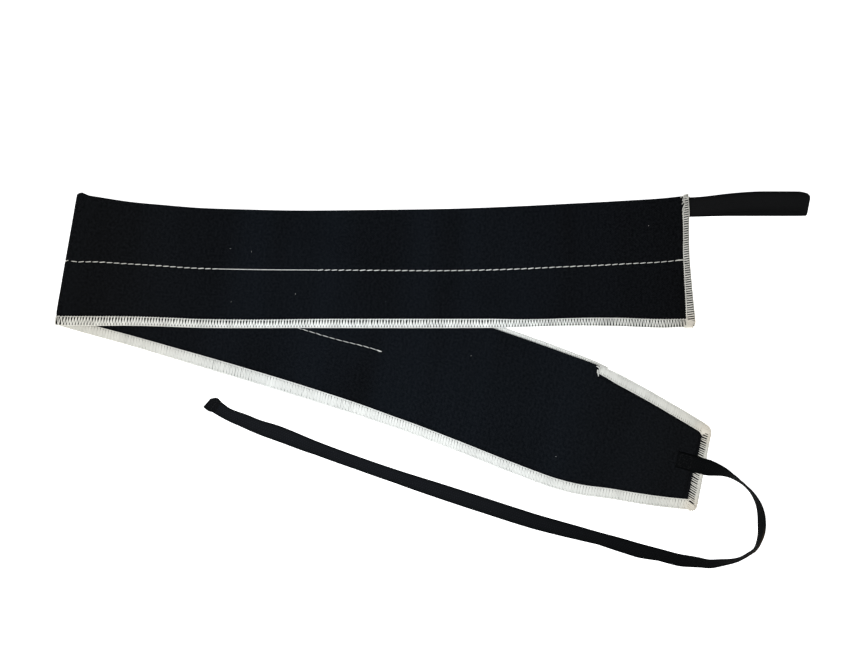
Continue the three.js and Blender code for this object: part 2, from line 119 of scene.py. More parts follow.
# share of the run's length, then folded and sewn edge in shares of the width
topEdges = [
    (0, 0.515, -0.507), (0.05, 0.477, -0.507), (0.1, 0.441, -0.507), (0.15, 0.419, -0.513),
    (0.21, 0.396, -0.523), (0.28, 0.385, -0.526), (0.37, 0.377, -0.525), (0.5, 0.382, -0.526),
    (0.62, 0.391, -0.526), (0.72, 0.409, -0.522), (0.8, 0.428, -0.512), (0.88, 0.448, -0.514),
    (0.95, 0.467, -0.526), (1, 0.493, -0.52),
]
lowerEdges = [
    (0, 0.507, -0.507), (0.05, 0.507, -0.499), (0.14, 0.509, -0.48), (0.24, 0.513, -0.47),
    (0.39, 0.518, -0.455), (0.55, 0.516, -0.455), (0.64, 0.512, -0.477), (0.71, 0.5055, -0.5),
    (0.76, 0.4975, -0.514), (0.8, 0.4905, -0.519), (0.84, 0.464, -0.503), (0.88, 0.427, -0.465),
    (0.92, 0.384, -0.435), (0.96, 0.338, -0.399), (1, 0.29, -0.352),
]
# share of the way along the square end, how far it bows out there, and how far its edging reaches in
squareBow = [
    (0, 0.15, 0.44), (0.08, 0.2, 0.46), (0.14, 0.1, 0.62), (0.23, -0.5, 0.57), (0.34, -0.85, 0.57),
    (0.44, -0.95, 0.6), (0.55, -0.75, 0.64), (0.66, -0.45, 0.69), (0.77, -0.15, 0.74), (0.87, 0.2, 0.82),
    (0.95, 0.4, 0.86), (1, 0.4, 0.87),
]
foldedColumn, sewnColumn = 1, 2
bowColumn, bowReachColumn = 1, 2
half = strip["thickness"] / 2


def clamp(value, low=0.0, high=1.0):
    return min(max(value, low), high)


def mix(a, b, share):
    return a + (b - a) * share


def ease(value):
    value = clamp(value)
    return value * value * (3 - 2 * value)


def readColumn(rows, column, along):
    last = len(rows) - 1
    inside = clamp(along, rows[0][0], rows[last][0])
    to = next(index for index in range(1, last + 1) if rows[index][0] >= inside)
    before, start, end, after = (rows[int(clamp(to + step, 0, last))] for step in (-2, -1, 0, 1))
    span = end[0] - start[0]
    share = (inside - start[0]) / span

    def slope(low, high):
        return (high[column] - low[column]) / (high[0] - low[0])

    startSlope = slope(start, end) if before is start else slope(before, end)
    endSlope = slope(start, end) if after is end else slope(start, after)
    first = start[column] * (1 + 2 * share) + startSlope * span * share
    second = end[column] * (3 - 2 * share) - endSlope * span * (1 - share)
    return first * (1 - share) ** 2 + second * share ** 2


def makeRun(length, angle, edges, endAngle):
    def slantOf(rowAngle):
        return math.tan(math.radians(angle + 90 - rowAngle))

    return {
        "length": length,
        "angle": math.radians(angle),
        "edges": edges,
        "foldSlant": slantOf(strip["foldLineAngle"]),
        "endSlant": slantOf(endAngle),
    }


def turned(point, angle):
    return Vector((
        point[0] * math.cos(angle) - point[1] * math.sin(angle),
        point[0] * math.sin(angle) + point[1] * math.cos(angle),
    ))


topRun = makeRun(strip["topLength"], 0, topEdges, strip["squareEndAngle"])
lowerRun = makeRun(strip["lowerLength"], strip["lowerAngle"], lowerEdges, strip["tipEdgeAngle"])


def edgePoint(run, centre, column):
    slant = mix(run["foldSlant"], run["endSlant"], centre / run["length"])
    off = 0
    for _ in range(4):
        off = readColumn(run["edges"], column, (centre + off * slant) / run["length"]) * strip["width"]
    return turned((centre + off * slant, off), run["angle"])


def rowOn(run, centre, turn=0.0):
    folded, sewn = edgePoint(run, centre, foldedColumn), edgePoint(run, centre, sewnColumn)
    return {"folded": folded, "sewn": sewn, "turn": turn, "depth": run["length"] - centre, "centre": centre}


def across(row, fromFolded):
    return row["folded"].lerp(row["sewn"], fromFolded / rowWidth(row))


def rowWidth(row):
    return (row["sewn"] - row["folded"]).length


foldNormal = turned((1, 0), math.radians(strip["foldLineAngle"] - 90))
foldAxis = (strip["foldRadius"] + half) / foldNormal.x - strip["foldReach"]
foldArc = math.pi * strip["foldRadius"]
topSpan = strip["topLength"] - foldAxis
lowerSpan = strip["lowerLength"] - foldAxis
stripLength = topSpan + foldArc + lowerSpan
squareEnd = rowOn(topRun, strip["topLength"])


def flared(row, flare):  # the two ends spread a little towards their sewn corner
    folded, sewn, length = flare
    near = clamp(1 - row["depth"] / length) ** 2
    inward = Vector((row["sewn"].y - row["folded"].y, row["folded"].x - row["sewn"].x)).normalized()
    out = inward if inward.x > 0 else -inward
    return {**row, "folded": row["folded"] + out * folded * near, "sewn": row["sewn"] + out * sewn * near}


def stripRow(place):  # place: millimetres from the square end, along the strip
    if place <= topSpan:
        row = flared(rowOn(topRun, strip["topLength"] - place), strip["squareFlare"])
    elif place >= topSpan + foldArc:
        return flared(rowOn(lowerRun, foldAxis + place - topSpan - foldArc, math.pi), strip["tipFlare"])
    else:
        share = (place - topSpan) / foldArc
        above, below = rowOn(topRun, foldAxis), rowOn(lowerRun, foldAxis)
        row = {name: above[name].lerp(below[name], share) for name in ("folded", "sewn")}
        row = {**row, "turn": share * math.pi, "depth": strip["lowerLength"], "centre": 0}
    bump = strip["bump"] * math.exp(-((place - topSpan) / strip["bumpLength"]) ** 2)
    row["folded"] = row["folded"] + (row["folded"] - row["sewn"]).normalized() * bump
    return row


def waveAt(flat):
    broad, small = (noise.noise(Vector((flat.x * paceX, flat.y * paceY, pattern)))
                    for paceX, paceY, pattern in (strip["broadWaves"], strip["smallWaves"]))
    broadShare, smallShare = strip["waveShares"]
    return strip["rest"] + strip["waveHeight"] * clamp(0.5 + broadShare * broad + smallShare * small)


def topUnderside(flat):
    onLower = turned(flat, -lowerRun["angle"])
    lowerEdge = readColumn(lowerEdges, foldedColumn, onLower.x / strip["lowerLength"]) * strip["width"]
    beyond = ease((onLower.y - lowerEdge - strip["rampMargin"]) / strip["rampLength"])
    settled = ease((flat.dot(foldNormal) - foldAxis * foldNormal.x) / strip["foldSettle"])
    layers = strip["thickness"] + strip["layerGap"]
    overLower = mix(2 * strip["foldRadius"], layers, settled) * (1 - beyond)
    fromCorner = flat - squareEnd["folded"]
    inEnd = ease((-fromCorner.x - strip["cornerLiftLength"]) / strip["cornerLiftFade"])
    inSide = ease((-fromCorner.y - strip["cornerLiftWidth"]) / strip["cornerLiftFade"])
    loopUnder = 2 * tape["thickness"] + strip["layerGap"]
    return max(overLower, loopUnder * (1 - inEnd) * (1 - inSide))


# Tapes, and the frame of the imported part
tape = {
    "thickness": 1.0,
    "loopWidth": 11.5,
    "loopLength": 70.8,
    "loopHeight": 9,
    "loopTail": 9,
    "loopFromCorner": 6.7,
    "loopPlyShift": 2.55,
    "loopPlyFrom": 0.34,     # share of the height where the upper ply starts to shift
    "loopPlyFade": 0.28,
    "loopPlyAlways": (40, 1.2),  # before this far out, all that lies this high is upper ply
    "loopShiftLength": 43,
    "loopCornerLength": 0.1,
    "loopCornerCurve": 0.4,
    "loopRise": 0.5,
    "loopRiseLength": 25,
    "loopEndSlant": 0.19,
    "tieWidth": 9.6,
    "anchorLength": 16.7,
    "anchorAngle": -11.5,
    "anchorFromCorner": 21.9,
    "anchorOverhang": 1.0,
    "anchorGap": 0.3,
}
anchorAhead = turned((1, 0), math.radians(tape["anchorAngle"]))


def nearTip(depth, fromFolded=None, fromSewn=None):
    row = flared(rowOn(lowerRun, strip["lowerLength"] - depth, math.pi), strip["tipFlare"])
    return across(row, fromFolded if fromFolded is not None else rowWidth(row) - fromSewn)


tipEdge = rowOn(lowerRun, strip["lowerLength"], math.pi)
tieExit = across(tipEdge, tape["anchorFromCorner"]) + anchorAhead * tape["anchorOverhang"]


def frameShift():  # the sewn-down tape's box says where the plan lies in the frame
    low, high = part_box("tie_anchor")
    middle = tieExit - anchorAhead * (tape["anchorGap"] + tape["anchorLength"] / 2)
    return Vector(((low.x + high.x) / 2 / mm, (low.y + high.y) / 2 / mm)) - middle


shift = frameShift()


def inFrame(x, y, z):
    return Vector(((x + shift.x) * mm, (y + shift.y) * mm, z * mm))


def bowed(flat):
    share = (squareEnd["folded"].y - flat.y) / (squareEnd["folded"].y - squareEnd["sewn"].y)
    near = clamp(1 - (squareEnd["sewn"].x - flat.x) / strip["bowLength"])
    if near <= 0:
        return flat
    return Vector((flat.x + readColumn(squareBow, bowColumn, share) * near ** 2, flat.y))


# lift is off the cloth's middle surface, towards the side that is up on the top run
def clothPoint(flat, turn, lift):
    flat = bowed(flat) if turn == 0 else flat
    reach = (strip["foldRadius"] + lift) * math.sin(turn)
    if turn == 0:
        height = topUnderside(flat) + half + lift
    else:
        height = half + strip["foldRadius"] + (strip["foldRadius"] + lift) * math.cos(turn)
    return inFrame(flat.x - foldNormal.x * reach, flat.y - foldNormal.y * reach, height + waveAt(flat))


# Mesh helpers
def linkPiece(name, mesh):
    piece = bpy.data.objects.new(name, mesh)
    bpy.context.scene.collection.objects.link(piece)
    return piece


# Closed skin over rings of equal count. aroundPlaces and alongPlaces give the UVs, in centimetres.
def skinRings(name, rings, aroundPlaces, alongPlaces, ladder=True):
    count = len(rings[0])
    faces, uvs = [], []
    for ring in range(len(rings) - 1):
        for side in range(count):
            nextSide = (side + 1) % count
            a, b = ring * count + side, ring * count + nextSide
            faces.append((a, b, b + count, a + count))
            u, v = aroundPlaces[side], aroundPlaces[side + 1]
            low, high = alongPlaces[ring], alongPlaces[ring + 1]
            uvs += [(u, low), (v, low), (v, high), (u, high)]
    for first, along in ((0, alongPlaces[0]), ((len(rings) - 1) * count, alongPlaces[-1])):
        if ladder:
            for step in range(count // 2):
                corners = [step, step + 1, count - step - 1, (count - step) % count]
                corners = list(dict.fromkeys(corners))
                faces.append(tuple(first + corner for corner in corners))
                uvs += [(aroundPlaces[corner], along) for corner in corners]
        else:
            faces.append(tuple(range(first, first + count)))
            uvs += [(aroundPlaces[corner], along) for corner in range(count)]
    mesh = bpy.data.meshes.new(name)
    mesh.from_pydata([point for ring in rings for point in ring], [], faces)
    layer = mesh.uv_layers.new(name="UVMap")
    layer.data.foreach_set("uv", [value for pair in uvs for value in pair])
    shaped = bmesh.new()
    shaped.from_mesh(mesh)
    bmesh.ops.recalc_face_normals(shaped, faces=shaped.faces)
    shaped.to_mesh(mesh)
    shaped.free()
    mesh.shade_smooth()
    return mesh


def measured(points):
    places = [0.0]
    for before, after in zip(points, points[1:]):
        places.append(places[-1] + (after - before).length)
    return places


# Smooth line through points, tighter where they are close (centripetal).
def smoothLine(points, perSpan):
    ends = [points[0] * 2 - points[1], *points, points[-1] * 2 - points[-2]]
    line = []
    for a, b, c, d in zip(ends, ends[1:], ends[2:], ends[3:]):
        knots = [0.0]
        for before, after in ((a, b), (b, c), (c, d)):
            knots.append(knots[-1] + max((after - before).length, 1e-6) ** 0.5)
        for step in range(perSpan):
            t = mix(knots[1], knots[2], step / perSpan)
            ab = mix(a, b, (t - knots[0]) / (knots[1] - knots[0]))
            bc = mix(b, c, (t - knots[1]) / (knots[2] - knots[1]))
            cd = mix(c, d, (t - knots[2]) / (knots[3] - knots[2]))
            abc = mix(ab, bc, (t - knots[0]) / (knots[2] - knots[0]))
            bcd = mix(bc, cd, (t - knots[1]) / (knots[3] - knots[1]))
            line.append(mix(abc, bcd, (t - knots[1]) / (knots[2] - knots[1])))
    return [*line, points[-1].copy()]


def tangentsOf(points):
    ends = [points[0], *points, points[-1]]
    return [(after - before).normalized() for before, after in zip(ends, ends[2:])]


# Round thread along a line, thinner where radii say so.
def threadMesh(name, points, radii, sides=6):
    rings = []
    normal = Vector((0, 0, 1))
    for point, ahead, radius in zip(points, tangentsOf(points), radii):
        side = ahead.cross(normal).normalized()
        up = side.cross(ahead)
        rings.append([
            point + side * (radius * math.cos(angle)) + up * (radius * math.sin(angle))
            for angle in (2 * math.pi * corner / sides for corner in range(sides))
        ])
    around = [corner / sides for corner in range(sides + 1)]
    return skinRings(name, rings, around, measured(points), ladder=False)


# Flat woven section: thin rounded selvages, and a slight cup across.
def tapeSection(width, thickness, cup, cells=10):
    def bent(place, lift):
        if abs(cup) < 1e-4:
            return (place, lift)
        radius = width / cup
        angle = place / radius
        return (math.sin(angle) * (radius - lift), lift * math.cos(angle) + radius * (1 - math.cos(angle)))

    upper = []
    for cell in range(cells + 1):
        share = 1 - 2 * cell / cells
        place = math.copysign(abs(share) ** 0.8, share) * width / 2
        lift = thickness / 2 * max(1 - abs(share) ** 9, 0) ** 0.5
        upper.append((place, lift))
    lower = [(place, -lift) for place, lift in reversed(upper[1:-1])]
    return [bent(place, lift) for place, lift in upper + lower]


def tapePiece(name, rings, width, along):
    count = len(rings[0])
    around = [place / count * 2 * width * mmInCm for place in range(count + 1)]
    return linkPiece(name, skinRings(name, rings, around, along))


def alongLine(line):
    return [place * metreInCm for place in measured(line)]


# Many small threads as one piece.
def joinStrands(name, strands, material):
    joined = bmesh.new()
    for thread in strands:
        joined.from_mesh(thread)
        bpy.data.meshes.remove(thread)
    mesh = bpy.data.meshes.new(name)
    joined.to_mesh(mesh)
    joined.free()
    mesh.shade_smooth()
    piece = linkPiece(name, mesh)
    piece.data.materials.append(material)
    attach(piece, "root")
    return piece


# The tie: a flat cord that leaves over the tip edge
# Where its right-hand edge runs (frame, mm), that edge's height, and the tape's lean on it in degrees.
tieRoute = [
    (158.2, -72.1, 2.9, 0), (161.9, -72.6, 2.6, 12), (165.2, -72.7, 1.9, 32), (169.7, -73.0, 1.0, 54),
    (174.2, -74.1, 0.4, 72), (178.6, -76.3, 0.1, 82), (182.5, -79.1, 0.1, 86), (185.4, -82.2, 0.1, 84),
    (187.6, -85.9, 0.1, 80), (189.3, -90.3, 0.1, 74), (190.2, -95.4, 0.1, 69), (190.4, -101, 0.1, 67),
    (190.4, -105.5, 0.1, 71), (189.9, -109.4, 0.1, 78), (188, -115, 0.1, 88), (184.2, -117.8, 0.1, 88),
    (179.8, -120.2, 0.1, 87), (175.9, -121.1, 0.1, 81), (169.1, -121.5, 0.1, 71), (161.8, -121.7, 0.1, 62),
    (156.2, -120.5, 0.1, 56), (150.6, -119.5, 0.1, 50), (144.7, -118.5, 0.1, 45), (133, -115.4, 0.1, 44),
    (121.3, -112.3, 0.1, 27), (109.6, -108.9, 0.1, 30), (97.9, -105.8, 0.1, 40), (86.1, -102.4, 0.1, 32),
    (62.7, -95.8, 0.1, 16), (50.9, -92.1, 0.1, 8), (27.5, -84.5, 0.1, 3), (4.1, -77, 0.1, 17),
    (-19.3, -69.7, 0.1, 33), (-42.8, -61.7, 0.1, 36), (-66.2, -53.1, 0.1, 33), (-89.7, -43.5, 0.1, 7),
    (-101.4, -39.9, 0.1, 28), (-109.6, -36.6, 0.1, 32), (-115.4, -34.6, 0.1, 38), (-119.2, -33.0, 0.1, 42),
    (-124.2, -29.4, 0.1, 34),
]
tie = {
    "length": 0.406,          # metres, as the photo shows it from end to end
    "diameter": 0.0096,
    "freeWidth": 9.3,         # off the tip the tape draws in a little
    "drawnFrom": 95,          # from here to there along the route, in millimetres
    "drawnTo": 150,
    "thickness": 0.7,
    "cup": 0.7,               # radians across the straight stretch
    "perSpan": 12,
}


def tieRings():
    plan = smoothLine([Vector((x, y)) for x, y, *_ in tieRoute], tie["perSpan"])
    places = measured(plan)
    rings, centres, axes = [], [], []
    for index, (flat, heading, place) in enumerate(zip(plan, tangentsOf(plan), places)):
        span, share = divmod(index / tie["perSpan"], 1)
        low, high = tieRoute[int(span)], tieRoute[min(int(span) + 1, len(tieRoute) - 1)]
        clear, degrees = (mix(low[column], high[column], share) for column in (2, 3))
        drawn = ease((place - tie["drawnFrom"]) / (tie["drawnTo"] - tie["drawnFrom"]))
        width = mix(tape["tieWidth"], tie["freeWidth"], drawn)
        section = tapeSection(width, tie["thickness"], tie["cup"] * drawn)
        ahead = Vector((heading.x, heading.y, 0))
        left = Vector((-ahead.y, ahead.x, 0))
        side = Quaternion(ahead, math.radians(degrees)) @ left
        up = ahead.cross(side)
        offsets = [side * x + up * z for x, z in section]
        lowest = min(offset.z for offset in offsets)
        nearest = min(offset.dot(left) for offset in offsets)
        start = Vector((flat.x, flat.y, clear - lowest)) - left * nearest
        rings.append([(start + offset) * mm for offset in offsets])
        centres.append(sum(rings[-1], Vector()) / len(rings[-1]))
        axes.append((ahead, side, up))
    return rings, centres, axes


tieRingList, tieLine, tieAxes = tieRings()
tieTape = tapePiece("tieTape", tieRingList, tie["freeWidth"], alongLine(tieLine))
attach(tieTape, "root")
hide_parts("tie_tape")
print("tie route done", round(measured(tieLine)[-1], 4))

# Cloth strip
cloth = {
    "rowStep": 2.0,
    "foldRows": 14,
    "sideCells": 15,
    "seamDip": 0.3,
    "seamHalfWidth": 0.6,
    "seamRidge": 0.07,
    "ridgeFromSeam": 1.7,
    "ridgeHalfWidth": 0.8,
    "puckerHeight": 0.16,
    "puckerLength": 7.5,
    "puckerFade": 7.0,
    "puckerDrift": 2.5,
    "driftPattern": (0.05, 4.4),      # pace along the strip, and which pattern
    "grainHeight": 0.05,
    "grainPattern": (0.16, 0.12, 3.0),  # pace along and across, and which pattern
    "pressedLift": 0.72,
    "pressedBeyond": 0.2,     # past the edging's inner border
    "pressFade": 1.3,
    "inset": 0.45,            # the cloth's cut edge behind the outer threads
    "creaseDepth": 0.14,
    "creaseAt": 0.75,         # from the edging's inner border
    "creaseHalfWidth": 0.55,
    "creasePressed": 0.5,     # how much of it the threads on top take away
    # how dark the painted shade in the seam's dip is
    "seamShade": 0.8,
    "cornerFan": 0.05,        # keeps the rows of points apart in the tip's round corners
    "taperSteepness": 110,    # how fast the taper's edging starts
}
# Rows of points along the strip, by their distance in millimetres:
roundCells = [0, 0.1, 0.3, 0.6, 1.0, 1.6, 2.6, 4.2, 5.8, 7.2, 8.4]  # from the plain folded edge
taperCells = [0.8, 1.4, 2.4, 3.6, 4.8]                             # from the taper's edge, under its edging
sewnCells = [3.8, 2.4, 1.4, 0.8]                                   # from the sewn edge, under its edging
besideCells = [-0.3, 0.3, 0.75, 1.3, 2.4]                          # from an edging's inner border
seamCells = [0.25, 0.6, 1.1, 1.9, 3.2]                             # from the centre seam, to both sides
# place along the strip, and the centre seam's share of the width from the folded edge
seamLine = [
    (0, 0.484), (25, 0.494), (53, 0.51), (100, 0.519), (146, 0.52), (200, 0.512), (228, 0.509), (287, 0.506),
    (325, 0.5), (345, 0.5), (364, 0.517), (372, 0.517), (440, 0.503), (506, 0.486), (530, 0.48),
    (555, 0.461),
    (760, 0.461),
]
seamBackLength = 190.6
seamEnd = topSpan + foldArc + seamBackLength - foldAxis
# place along the strip, and how much of its full width the long edging takes up there
longReach = [
    (0, 0.78), (20, 0.81), (42, 0.79), (60, 0.74), (80, 0.68), (97, 0.72), (118, 0.82), (200, 0.83),
    (250, 0.77),
    (330, 0.85), (365, 0.88), (395, 0.91), (430, 0.98), (470, 1.1), (545, 1.1), (580, 0.97), (760, 0.97),
]
squareReach, squareReachLow, taperReach, tipReach = 0.62, 0.86, 0.93, 0.88
tipWidening, tipWideFrom, tipWideOver = 0.2, 0.25, 0.5  # the tip's edging gets wider towards its sewn corner
tipCorners = {"folded": 3.4, "sewn": 2.4}
threadReach = 6.2  # millimetres of cloth that the widest edging covers


def seamShare(place):
    return readColumn(seamLine, 1, place)


def tipReachAt(share):
    return tipReach + tipWidening * ease((share - tipWideFrom) / tipWideOver)


def taperStretch(row):  # 0 along the plain fold, 1 where the taper is edged
    if row["turn"] != math.pi:
        return 0
    return ease((row["centre"] / strip["lowerLength"] - strip["edgedFrom"]) * cloth["taperSteepness"] + 0.5)


def hump(distance, halfWidth):
    return math.exp(-(distance / halfWidth) ** 2)


def beside(depthIn, covered):  # under the edging, and in the crease next to it
    pressed = 1 - ease((depthIn - covered + cloth["pressedBeyond"]) / cloth["pressFade"])
    return pressed, hump(depthIn - covered - cloth["creaseAt"], cloth["creaseHalfWidth"])


def cornerInset(depth, radius):  # how far a rounded corner stands back this deep in
    return radius - math.sqrt(radius ** 2 - (radius - depth) ** 2) if depth < radius else 0


def ringPlaces(row, sewnCover, foldCover, seamAt):  # from the folded edge to the sewn one
    width = rowWidth(row)
    inset, fan, cells = cloth["inset"], cloth["cornerFan"], cloth["sideCells"]
    edged = [inset, *taperCells, *(foldCover + step for step in besideCells)]
    starts = [mix(a, b, taperStretch(row)) for a, b in zip(roundCells, edged)]
    ends = [width - sewnCover - step for step in reversed(besideCells)]
    ends += [width - back for back in (*sewnCells, inset)]
    dips = [seamAt + off for off in (*(-cell for cell in reversed(seamCells)), 0, *seamCells)]
    if row["turn"] == math.pi:  # the tip's corners are round under their threads
        foldBack, sewnBack = (cornerInset(row["depth"], tipCorners[side]) for side in ("folded", "sewn"))
        starts = [max(at, inset + foldBack + fan * index) for index, at in enumerate(starts)]
        ends = [min(at, width - inset - sewnBack - fan * (len(ends) - index))
                for index, at in enumerate(ends)]
    first = [mix(starts[-1], dips[0], cell / cells) for cell in range(1, cells)]
    second = [mix(dips[-1], ends[0], cell / cells) for cell in range(1, cells)]
    return starts + first + dips + second + ends


def clothRing(place):
    row = stripRow(place)
    width = rowWidth(row)
    taper = taperStretch(row)
    sewnCover = threadReach * readColumn(longReach, 1, place)
    foldCover = threadReach * taperReach
    seamAt = seamShare(place) * width
    places = ringPlaces(row, sewnCover, foldCover, seamAt)
    hasSeam = 1 if place < seamEnd else 0
    driftPace, driftNumber = cloth["driftPattern"]
    drift = cloth["puckerDrift"] * noise.noise(Vector((place * driftPace, driftNumber, 0)))
    pucker = cloth["puckerHeight"] / 2 * math.sin(2 * math.pi * place / cloth["puckerLength"] + drift)
    paceAlong, paceAcross, grainNumber = cloth["grainPattern"]
    sides, shades = {1: [], -1: []}, []
    for at in places[1:-1]:
        fromSewn = width - at
        sewnPressed, sewnCrease = beside(fromSewn, sewnCover)
        foldPressed, foldCrease = beside(at, foldCover)
        atTip = row["turn"] == math.pi
        endReach = tipReachAt(at / width) if atTip else readColumn(squareBow, bowReachColumn, at / width)
        endPressed, endCrease = beside(row["depth"], threadReach * endReach)
        pressed = max(sewnPressed, taper * foldPressed, endPressed)
        crease = max(sewnCrease, taper * foldCrease, endCrease * (1 - sewnPressed))
        crease *= 1 - cloth["creasePressed"] * pressed
        curve = mix(math.sqrt(max(1 - max(1 - at / half, 0) ** 2, 0)), 1, taper)
        fade = math.exp(-max(fromSewn - sewnCover, 0) / cloth["puckerFade"])
        fade += taper * math.exp(-max(at - foldCover, 0) / cloth["puckerFade"])
        dip = hump(at - seamAt, cloth["seamHalfWidth"])
        ridge = hump(abs(at - seamAt) - cloth["ridgeFromSeam"], cloth["ridgeHalfWidth"])
        # painted shade at each point: the creases beside the edgings and the seam's dip
        shades.append(max(crease, cloth["seamShade"] * dip * hasSeam))
        for sign in (1, -1):
            lift = mix(half * curve, min(half * curve, cloth["pressedLift"]), pressed)
            grain = noise.noise(Vector((place * paceAlong, at * paceAcross, sign * grainNumber)))
            lift += (1 - pressed) * (pucker * fade + cloth["grainHeight"] * grain)
            lift -= cloth["creaseDepth"] * crease
            lift -= hasSeam * (cloth["seamDip"] * dip - cloth["seamRidge"] * ridge)
            sides[sign].append(clothPoint(across(row, at), row["turn"], sign * lift))
    tips = [clothPoint(across(row, at), row["turn"], 0) for at in (places[0], places[-1])]
    ring = [tips[0], *sides[1], tips[1], *reversed(sides[-1])]
    shade = [0, *shades, 0, *reversed(shades)]
    around = [at * mmInCm for at in places]
    around += [(2 * width - at) * mmInCm for at in reversed(places[:-1])]
    return ring, around, shade


squareRows, tipRows = [1.6, 2.8], [3.8, 2.2]  # cloth rows under the end edgings, from the end
tipBesideRows = [3.6, 2.6, 2.0, 1.5, 1.1, 0.75, 0.3, -0.3]


def clothPlaces():
    inset = cloth["inset"]
    squareCover, tipCover = threadReach * squareReach, threadReach * tipReach
    places = [inset, *squareRows, *(squareCover + step for step in besideCells)]
    steps = round((topSpan - places[-1]) / cloth["rowStep"])
    places += [mix(places[-1], topSpan, step / steps) for step in range(1, steps + 1)]
    places += [topSpan + foldArc * cell / cloth["foldRows"] for cell in range(1, cloth["foldRows"] + 1)]
    last = [stripLength - tipCover - step for step in tipBesideRows]
    steps = round((last[0] - places[-1]) / cloth["rowStep"])
    places += [mix(places[-1], last[0], step / steps) for step in range(1, steps)]
    return places + last + [stripLength - back for back in (*tipRows, inset)]


def makeCloth():
    places = clothPlaces()
    rings, shades, around = [], [], None
    for place in places:
        ring, ringAround, shade = clothRing(place)
        rings.append(ring)
        shades += shade
        around = around or ringAround
    mesh = skinRings("wrapCloth", rings, around, [place * mmInCm for place in places])
    # painted shade: the cloth's colour is darkened where this is high
    layer = mesh.attributes.new("shade", "FLOAT", "POINT")  # darker in the creases beside the threads
    layer.data.foreach_set("value", shades)
    return linkPiece("wrapCloth", mesh)


wrapCloth = makeCloth()
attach(wrapCloth, "root")
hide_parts("wrap_band")
print("cloth done", len(wrapCloth.data.polygons))

# Node trees
def newTree(name, treeKind, inputs, outputs):
    tree = bpy.data.node_groups.new(name, treeKind)
    for label, kind, *value in inputs:
        socket = tree.interface.new_socket(label, in_out="INPUT", socket_type=kind)
        if value:
            socket.default_value = value[0]
    for label, kind in outputs:
        tree.interface.new_socket(label, in_out="OUTPUT", socket_type=kind)
    return tree


class Wiring:  # short hand for adding and joining nodes of one tree
    def __init__(self, tree):
        self.tree = tree

    def add(self, kind, values=None, **settings):
        node = self.tree.nodes.new(kind)
        for key, value in settings.items():
            setattr(node, key, value)
        for key, value in (values or {}).items():
            self.feed(value, node.inputs[key])
        return node

    def feed(self, value, target):
        if isinstance(value, bpy.types.NodeSocket):
            self.tree.links.new(value, target)
        else:
            target.default_value = value

    def math(self, operation, *values):
        return self.add("ShaderNodeMath", dict(enumerate(values)), operation=operation).outputs[0]

    def times(self, first, second):
        return self.math("MULTIPLY", first, second)

    def plus(self, first, second):
        return self.math("ADD", first, second)

    def blend(self, share, first, second, kind="MIX"):
        return self.add("ShaderNodeMix", {0: share, 6: first, 7: second}, data_type="RGBA",
                        blend_type=kind).outputs[2]

    def ramp(self, value, low, high):
        return self.add("ShaderNodeMapRange", {"Value": value, "From Min": low, "From Max": high}).outputs[0]

    def noise(self, spot, scale, detail, roughness=0.5):
        return self.add("ShaderNodeTexNoise", {"Vector": spot, "Scale": scale, "Detail": detail,
                                               "Roughness": roughness}).outputs["Fac"]

    def split(self, spot):
        return self.add("ShaderNodeSeparateXYZ", {"Vector": spot}).outputs

    def near(self, spot, place, radius, core):  # 1 within the core's share of the radius, 0 outside it
        away = self.add("ShaderNodeVectorMath", {0: spot, 1: place}, operation="DISTANCE")
        return self.ramp(away.outputs["Value"], radius, radius * core)

    def bump(self, shader, height, strength, distance):
        bump = self.add("ShaderNodeBump", {"Strength": strength, "Distance": distance, "Height": height})
        self.feed(bump.outputs["Normal"], shader.inputs["Normal"])


# Thread edging: small thread shapes, repeated along each edge by Geometry Nodes
# In a shape, X runs along the edge, Y goes in from it and Z is the cloth's upper face.
edging = {
    "pitch": 1.3,
    "longPitch": 1.7,
    "squarePitch": 1.36,
    "width": 6.0,
    "faceLift": 1.08,
    "openRadius": 0.265,
    "squareRadius": 0.16,
    "denseRadius": 0.37,
    "sizeJitter": 0.06,
    "turnJitter": 3.0,        # degrees
    "bunching": 0.18,         # threads lie closer here and looser there
    "bunchLength": 9,
    "stationStep": 1.2,
    "seed": 11,
}
squareStitch = -1   # fine slanted threads across the square end
openStitch = 0      # open zigzag of the upper face
denseStitch = 1     # threads close together, on the lower run and its taper
straightStitch = 2  # straight threads across the tip
belowStitch = 3     # the edging that shows below the lower run's plain edge
cornerStitch = 4    # threads laid close round the sewn corner


def only(stitch):
    return (stitch - 0.5, stitch + 0.5)


frontKinds, edgedKinds, anyKind = (-1.5, 0.5), (0.5, 2.5), (-1.5, 2.5)
# how much the threads of a kind vary in their turn
looseness = {only(openStitch): 1.0, only(straightStitch): 0.8, only(squareStitch): 0.9}
otherLooseness = 0.33
# tone from 0 dark to 1 pale: in the middle, what kinds on show have more, and how far single threads differ
threadTone = {"middle": 0.6, "paler": 0.15, "spread": 0.25, "closeShare": 0.4}


def strand(name, points, radii, sides=5):
    scaled = [Vector(point) * mm for point in points]
    return bpy.data.objects.new(name, threadMesh(name, scaled, [radius * mm for radius in radii], sides))


# A leg is one thread across the edging, from the cloth side (y 6) round the outer edge (y 0).
legProfile = ((6.05, -0.2), (5.0, 0.02), (3.2, 0.08), (1.6, 0.04), (0.85, -0.08), (0.3, -0.36))  # y, height
loosePlump = (0.75, 1, 1.05, 1.05, 0.8, 0.9, 0.8)  # its thickness along that profile
evenPlump = (0.72, 0.95, 1.04, 1.02, 0.82, 0.95, 0.8)
tautPlump = (0.6, 0.85, 1.05, 1.1, 1.05, 1, 0.8)


def leg(name, face, start, end, radius, above, plump=loosePlump):
    lift = edging["faceLift"] + above
    profile = (*legProfile, (-0.05, -lift))
    points = [(mix(start, end, 1 - y / 6), y, face * (lift + rise)) for y, rise in profile]
    return strand(name, points, [radius * size for size in plump])


